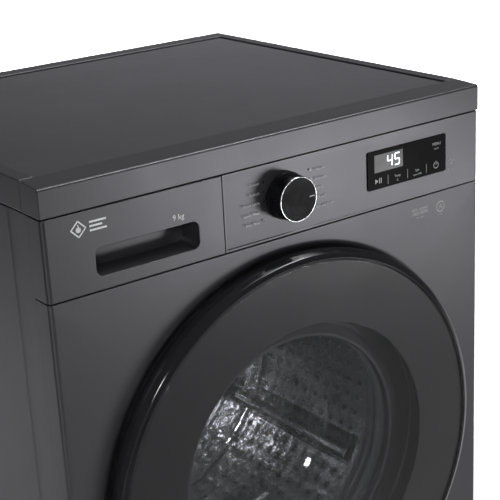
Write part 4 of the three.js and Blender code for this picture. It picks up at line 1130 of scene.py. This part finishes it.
def programme_names():
    """The dots and names round the knob, and the small signs right of the display."""
    panel_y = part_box("control_panel")[0].y
    left_names = ("Cotton", "Refresh", "Mixed Fabric", "Quick Wash", "Baby Wear")
    right_names = ("Hygiene", "Delicates", "Sports", "Full Load", "Spin and Drain")
    dots = Print("programme_dots", panel_y)
    names = Print("programme_names", panel_y)
    for i, (left, right) in enumerate(zip(left_names, right_names)):
        dots.dot(-30.3, -51 - 11 * i, 1.2).dot(36, -51.4 - 10.9 * i, 1.2)
        names.text(left, -36, -51.4 - 11 * i, 4.4, "RIGHT").text(right, 42, -51.8 - 10.9 * i, 4.4)
    names.text("Smart", 234, -97.5, 4.2)
    for r in (2.2, 4.4, 6.6):
        names.arc(253.6, -90, r, 0.7, 45, 135, 10)
    names.dot(253.6, -90, 0.9).text("Remote", 247, -95, 3)
    dots.done("cabinet", PAINT["gloss_black"], "gloss_black")
    names.done("cabinet", SOFT_INK, "white_plastic")


def display_signs():
    """The lit field with its figure, and the touch signs under the dark glass."""
    field = Print("display_field", DISPLAY_Y)
    field.shape([(130.5, -54.8), (175, -54.8), (175, -75.7), (130.5, -75.7)])
    field.done("cabinet", LCD, "gloss_black")
    digits = Print("display_digits", DISPLAY_Y - PRINT)
    seven_segments(digits, 4, 150.5, -71.6)
    seven_segments(digits, 5, 162, -71.6)
    digits.done("cabinet", LIT, "white_plastic")
    icons = Print("display_icons", DISPLAY_Y)
    icons.shape([(131.5, -83), (136, -86), (131.5, -89)])
    icons.line([(138, -83), (138, -89)], 1.1).line([(140.6, -83), (140.6, -89)], 1.1)
    for x in (151.4, 182.5, 213):
        icons.line([(x, -81.5), (x, -92.5)], 0.5)
    icons.text("Temp", 166.5, -85.6, 4, "CENTER").text("C", 166.5, -90.8, 3.6, "CENTER")
    icons.text("Spin", 198.1, -85.6, 4, "CENTER").text("rpm x100", 198.1, -90.8, 3.4, "CENTER")
    icons.text("MENU", 229.7, -60, 5, "CENTER").text("touch", 229.7, -65.5, 3.2, "CENTER")
    icons.arc(228.8, -86, 3.7, 0.8, 115, 425, 22).line([(228.8, -80.8), (228.8, -85.4)], 0.8)
    icons.done("cabinet", DIM, "white_plastic")


def plain_marks():
    """A plain diamond and bars on the drawer, and a plain class badge by the door."""
    mark = Print("maker_plate", DRAWER_Y)
    x, z, r = -259.5, -49.5, 8.4
    mark.line([(x - r, z), (x, z + r), (x + r, z), (x, z - r), (x - r, z)], 1.5)
    mark.dot(x, z - 0.8, 3).line([(x, z), (x, z + 4.6)], 1.1)
    for row, length in ((4.6, 19), (0.2, 14), (-4.2, 19)):
        mark.line([(-246.5, z + row), (-246.5 + length, z + row)], 2.1)
    mark.text("9 kg", -149, -64.5, 8.6)
    mark.done("drawer", BRIGHT_INK, "chrome")
    badge = Print("motor_badge", FRONT_Y)
    badge.text("spin speed", 202, -134.6, 6, "CENTER").text("1400 RPM", 202, -140.2, 6.4, "CENTER")
    badge.text("low noise", 202, -145.4, 3.4, "CENTER")
    badge.arc(236, -139.4, 6.4, 1.2).text("A", 236, -139.6, 8, "CENTER").text("class", 236, -149, 3, "CENTER")
    badge.done("cabinet", SOFT_INK, "white_plastic")


# ---- Fittings that the CAD leaves out ----
def fittings():
    """The screws round the rear cover's edge."""
    lo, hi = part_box("back_cover")
    inset = 7 * MM
    across, up = 6, 8  # gaps between the screws
    places = []
    for i in range(across + 1):
        x = lo.x + inset + (hi.x - lo.x - 2 * inset) * i / across
        places += [(x, lo.z + inset), (x, hi.z - inset)]
    for i in range(1, up):
        z = lo.z + inset + (hi.z - lo.z - 2 * inset) * i / up
        places += [(lo.x + inset, z), (hi.x - inset, z)]
    backwards = (-math.pi / 2, 0, 0)
    screws = repeated("cover_screws", [((x, hi.y - 0.1 * MM, z), backwards, 1) for x, z in places],
                      screw_shape(), PAINT["galvanised"])
    extra(screws, "cabinet", PAINT["galvanised"])


def everything_else():
    """CAD pieces that no finished piece stands for: their faces shaded round, their edges broken."""
    shown = [name for name, obj in nodes.items() if not obj.hide_render]
    for node in shown:
        stands_for(broken_edges(node, 0.35 * MM), node, PAINT[SLOTS[node]])


# ---- Studio ----
def area_light(name, place, target, size, power, spread=180):
    data = bpy.data.lights.new(name, "AREA")
    data.shape = "RECTANGLE"
    data.size, data.size_y = size
    data.energy = power
    data.spread = math.radians(spread)
    lamp = bpy.data.objects.new(name, data)
    lamp.location = place
    lamp.rotation_euler = (Vector(target) - Vector(place)).to_track_quat("-Z", "Y").to_euler()
    bpy.context.scene.collection.objects.link(lamp)


def studio():
    bm = bmesh.new()
    box_mesh(bm, (-7, -7, -0.02), (9, 11, 0))
    floor = from_bmesh("studio_floor", bm)
    s = Surface("pale_floor", (0.80, 0.80, 0.80), 0.75, 0.0, Specular_IOR_Level=0.2)
    s.vary(0.03, 0.6)
    dress(floor, s.material)
    world = bpy.data.worlds.new("studio_air")
    world.use_nodes = True
    air = world.node_tree.nodes["Background"].inputs
    air["Color"].default_value = (1, 1, 1, 1)
    air["Strength"].default_value = 0.12
    bpy.context.scene.world = world
    area_light("key_low_right", (1.4, -2.05, 0.17), (0.05, -0.25, 0.8), (1.0, 0.3), 9.3)
    area_light("overhead", (0.9, -0.55, 2.5), (0.1, 0.0, 0.85), (1.8, 1.0), 12)
    area_light("lid_edge", (1.0, -0.8, 2.4), (0.0, -0.25, 0.85), (1.5, 0.25), 2.4, spread=60)
    area_light("behind", (2.6, 3.3, 3.6), (2.6, 3.3, 0), (4.6, 5.4), 430, spread=70)
    area_light("left_fill", (-1.6, -2.6, 0.9), (-0.1, -0.2, 0.5), (1.4, 1.4), 2)
    area_light("low_left_edge", (-1.25, -0.75, 0.25), (-0.3, -0.25, 0.7), (0.3, 0.6), 0.8)
    area_light("through_window", (-1.15, -1.75, 1.35), (0.09, 0.1, 0.37), (0.4, 0.4), 0.2, spread=10)


def camera():
    place = (-0.85207, -1.35431, 1.20377)
    turn, down, roll = math.radians(36.02), math.radians(19.40), math.radians(3.0)
    forward = Vector((math.sin(turn) * math.cos(down), math.cos(turn) * math.cos(down), -math.sin(down)))
    right = Vector((math.cos(turn), -math.sin(turn), 0))
    below = forward.cross(right)
    x_axis = right * math.cos(roll) + below * math.sin(roll)
    y_axis = right * math.sin(roll) - below * math.cos(roll)
    data = bpy.data.cameras.new("camera")
    data.lens = 95.43
    data.sensor_width = 36
    data.dof.use_dof = False
    obj = bpy.data.objects.new("camera", data)
    axes = Matrix((x_axis, y_axis, -forward)).transposed().to_4x4()
    obj.matrix_world = Matrix.Translation(place) @ axes
    bpy.context.scene.collection.objects.link(obj)
    bpy.context.scene.camera = obj


cabinet()
door_ring()
cover_glass()
door_frame()
glass_bowl()
gasket()
for hand in ("left", "right"):
    coil_spring(hand)
sump_hose()
drum()
knob()
everything_else()
programme_names()
display_signs()
plain_marks()
fittings()
studio()
camera()
bpy.context.scene.view_settings.view_transform = "Standard"
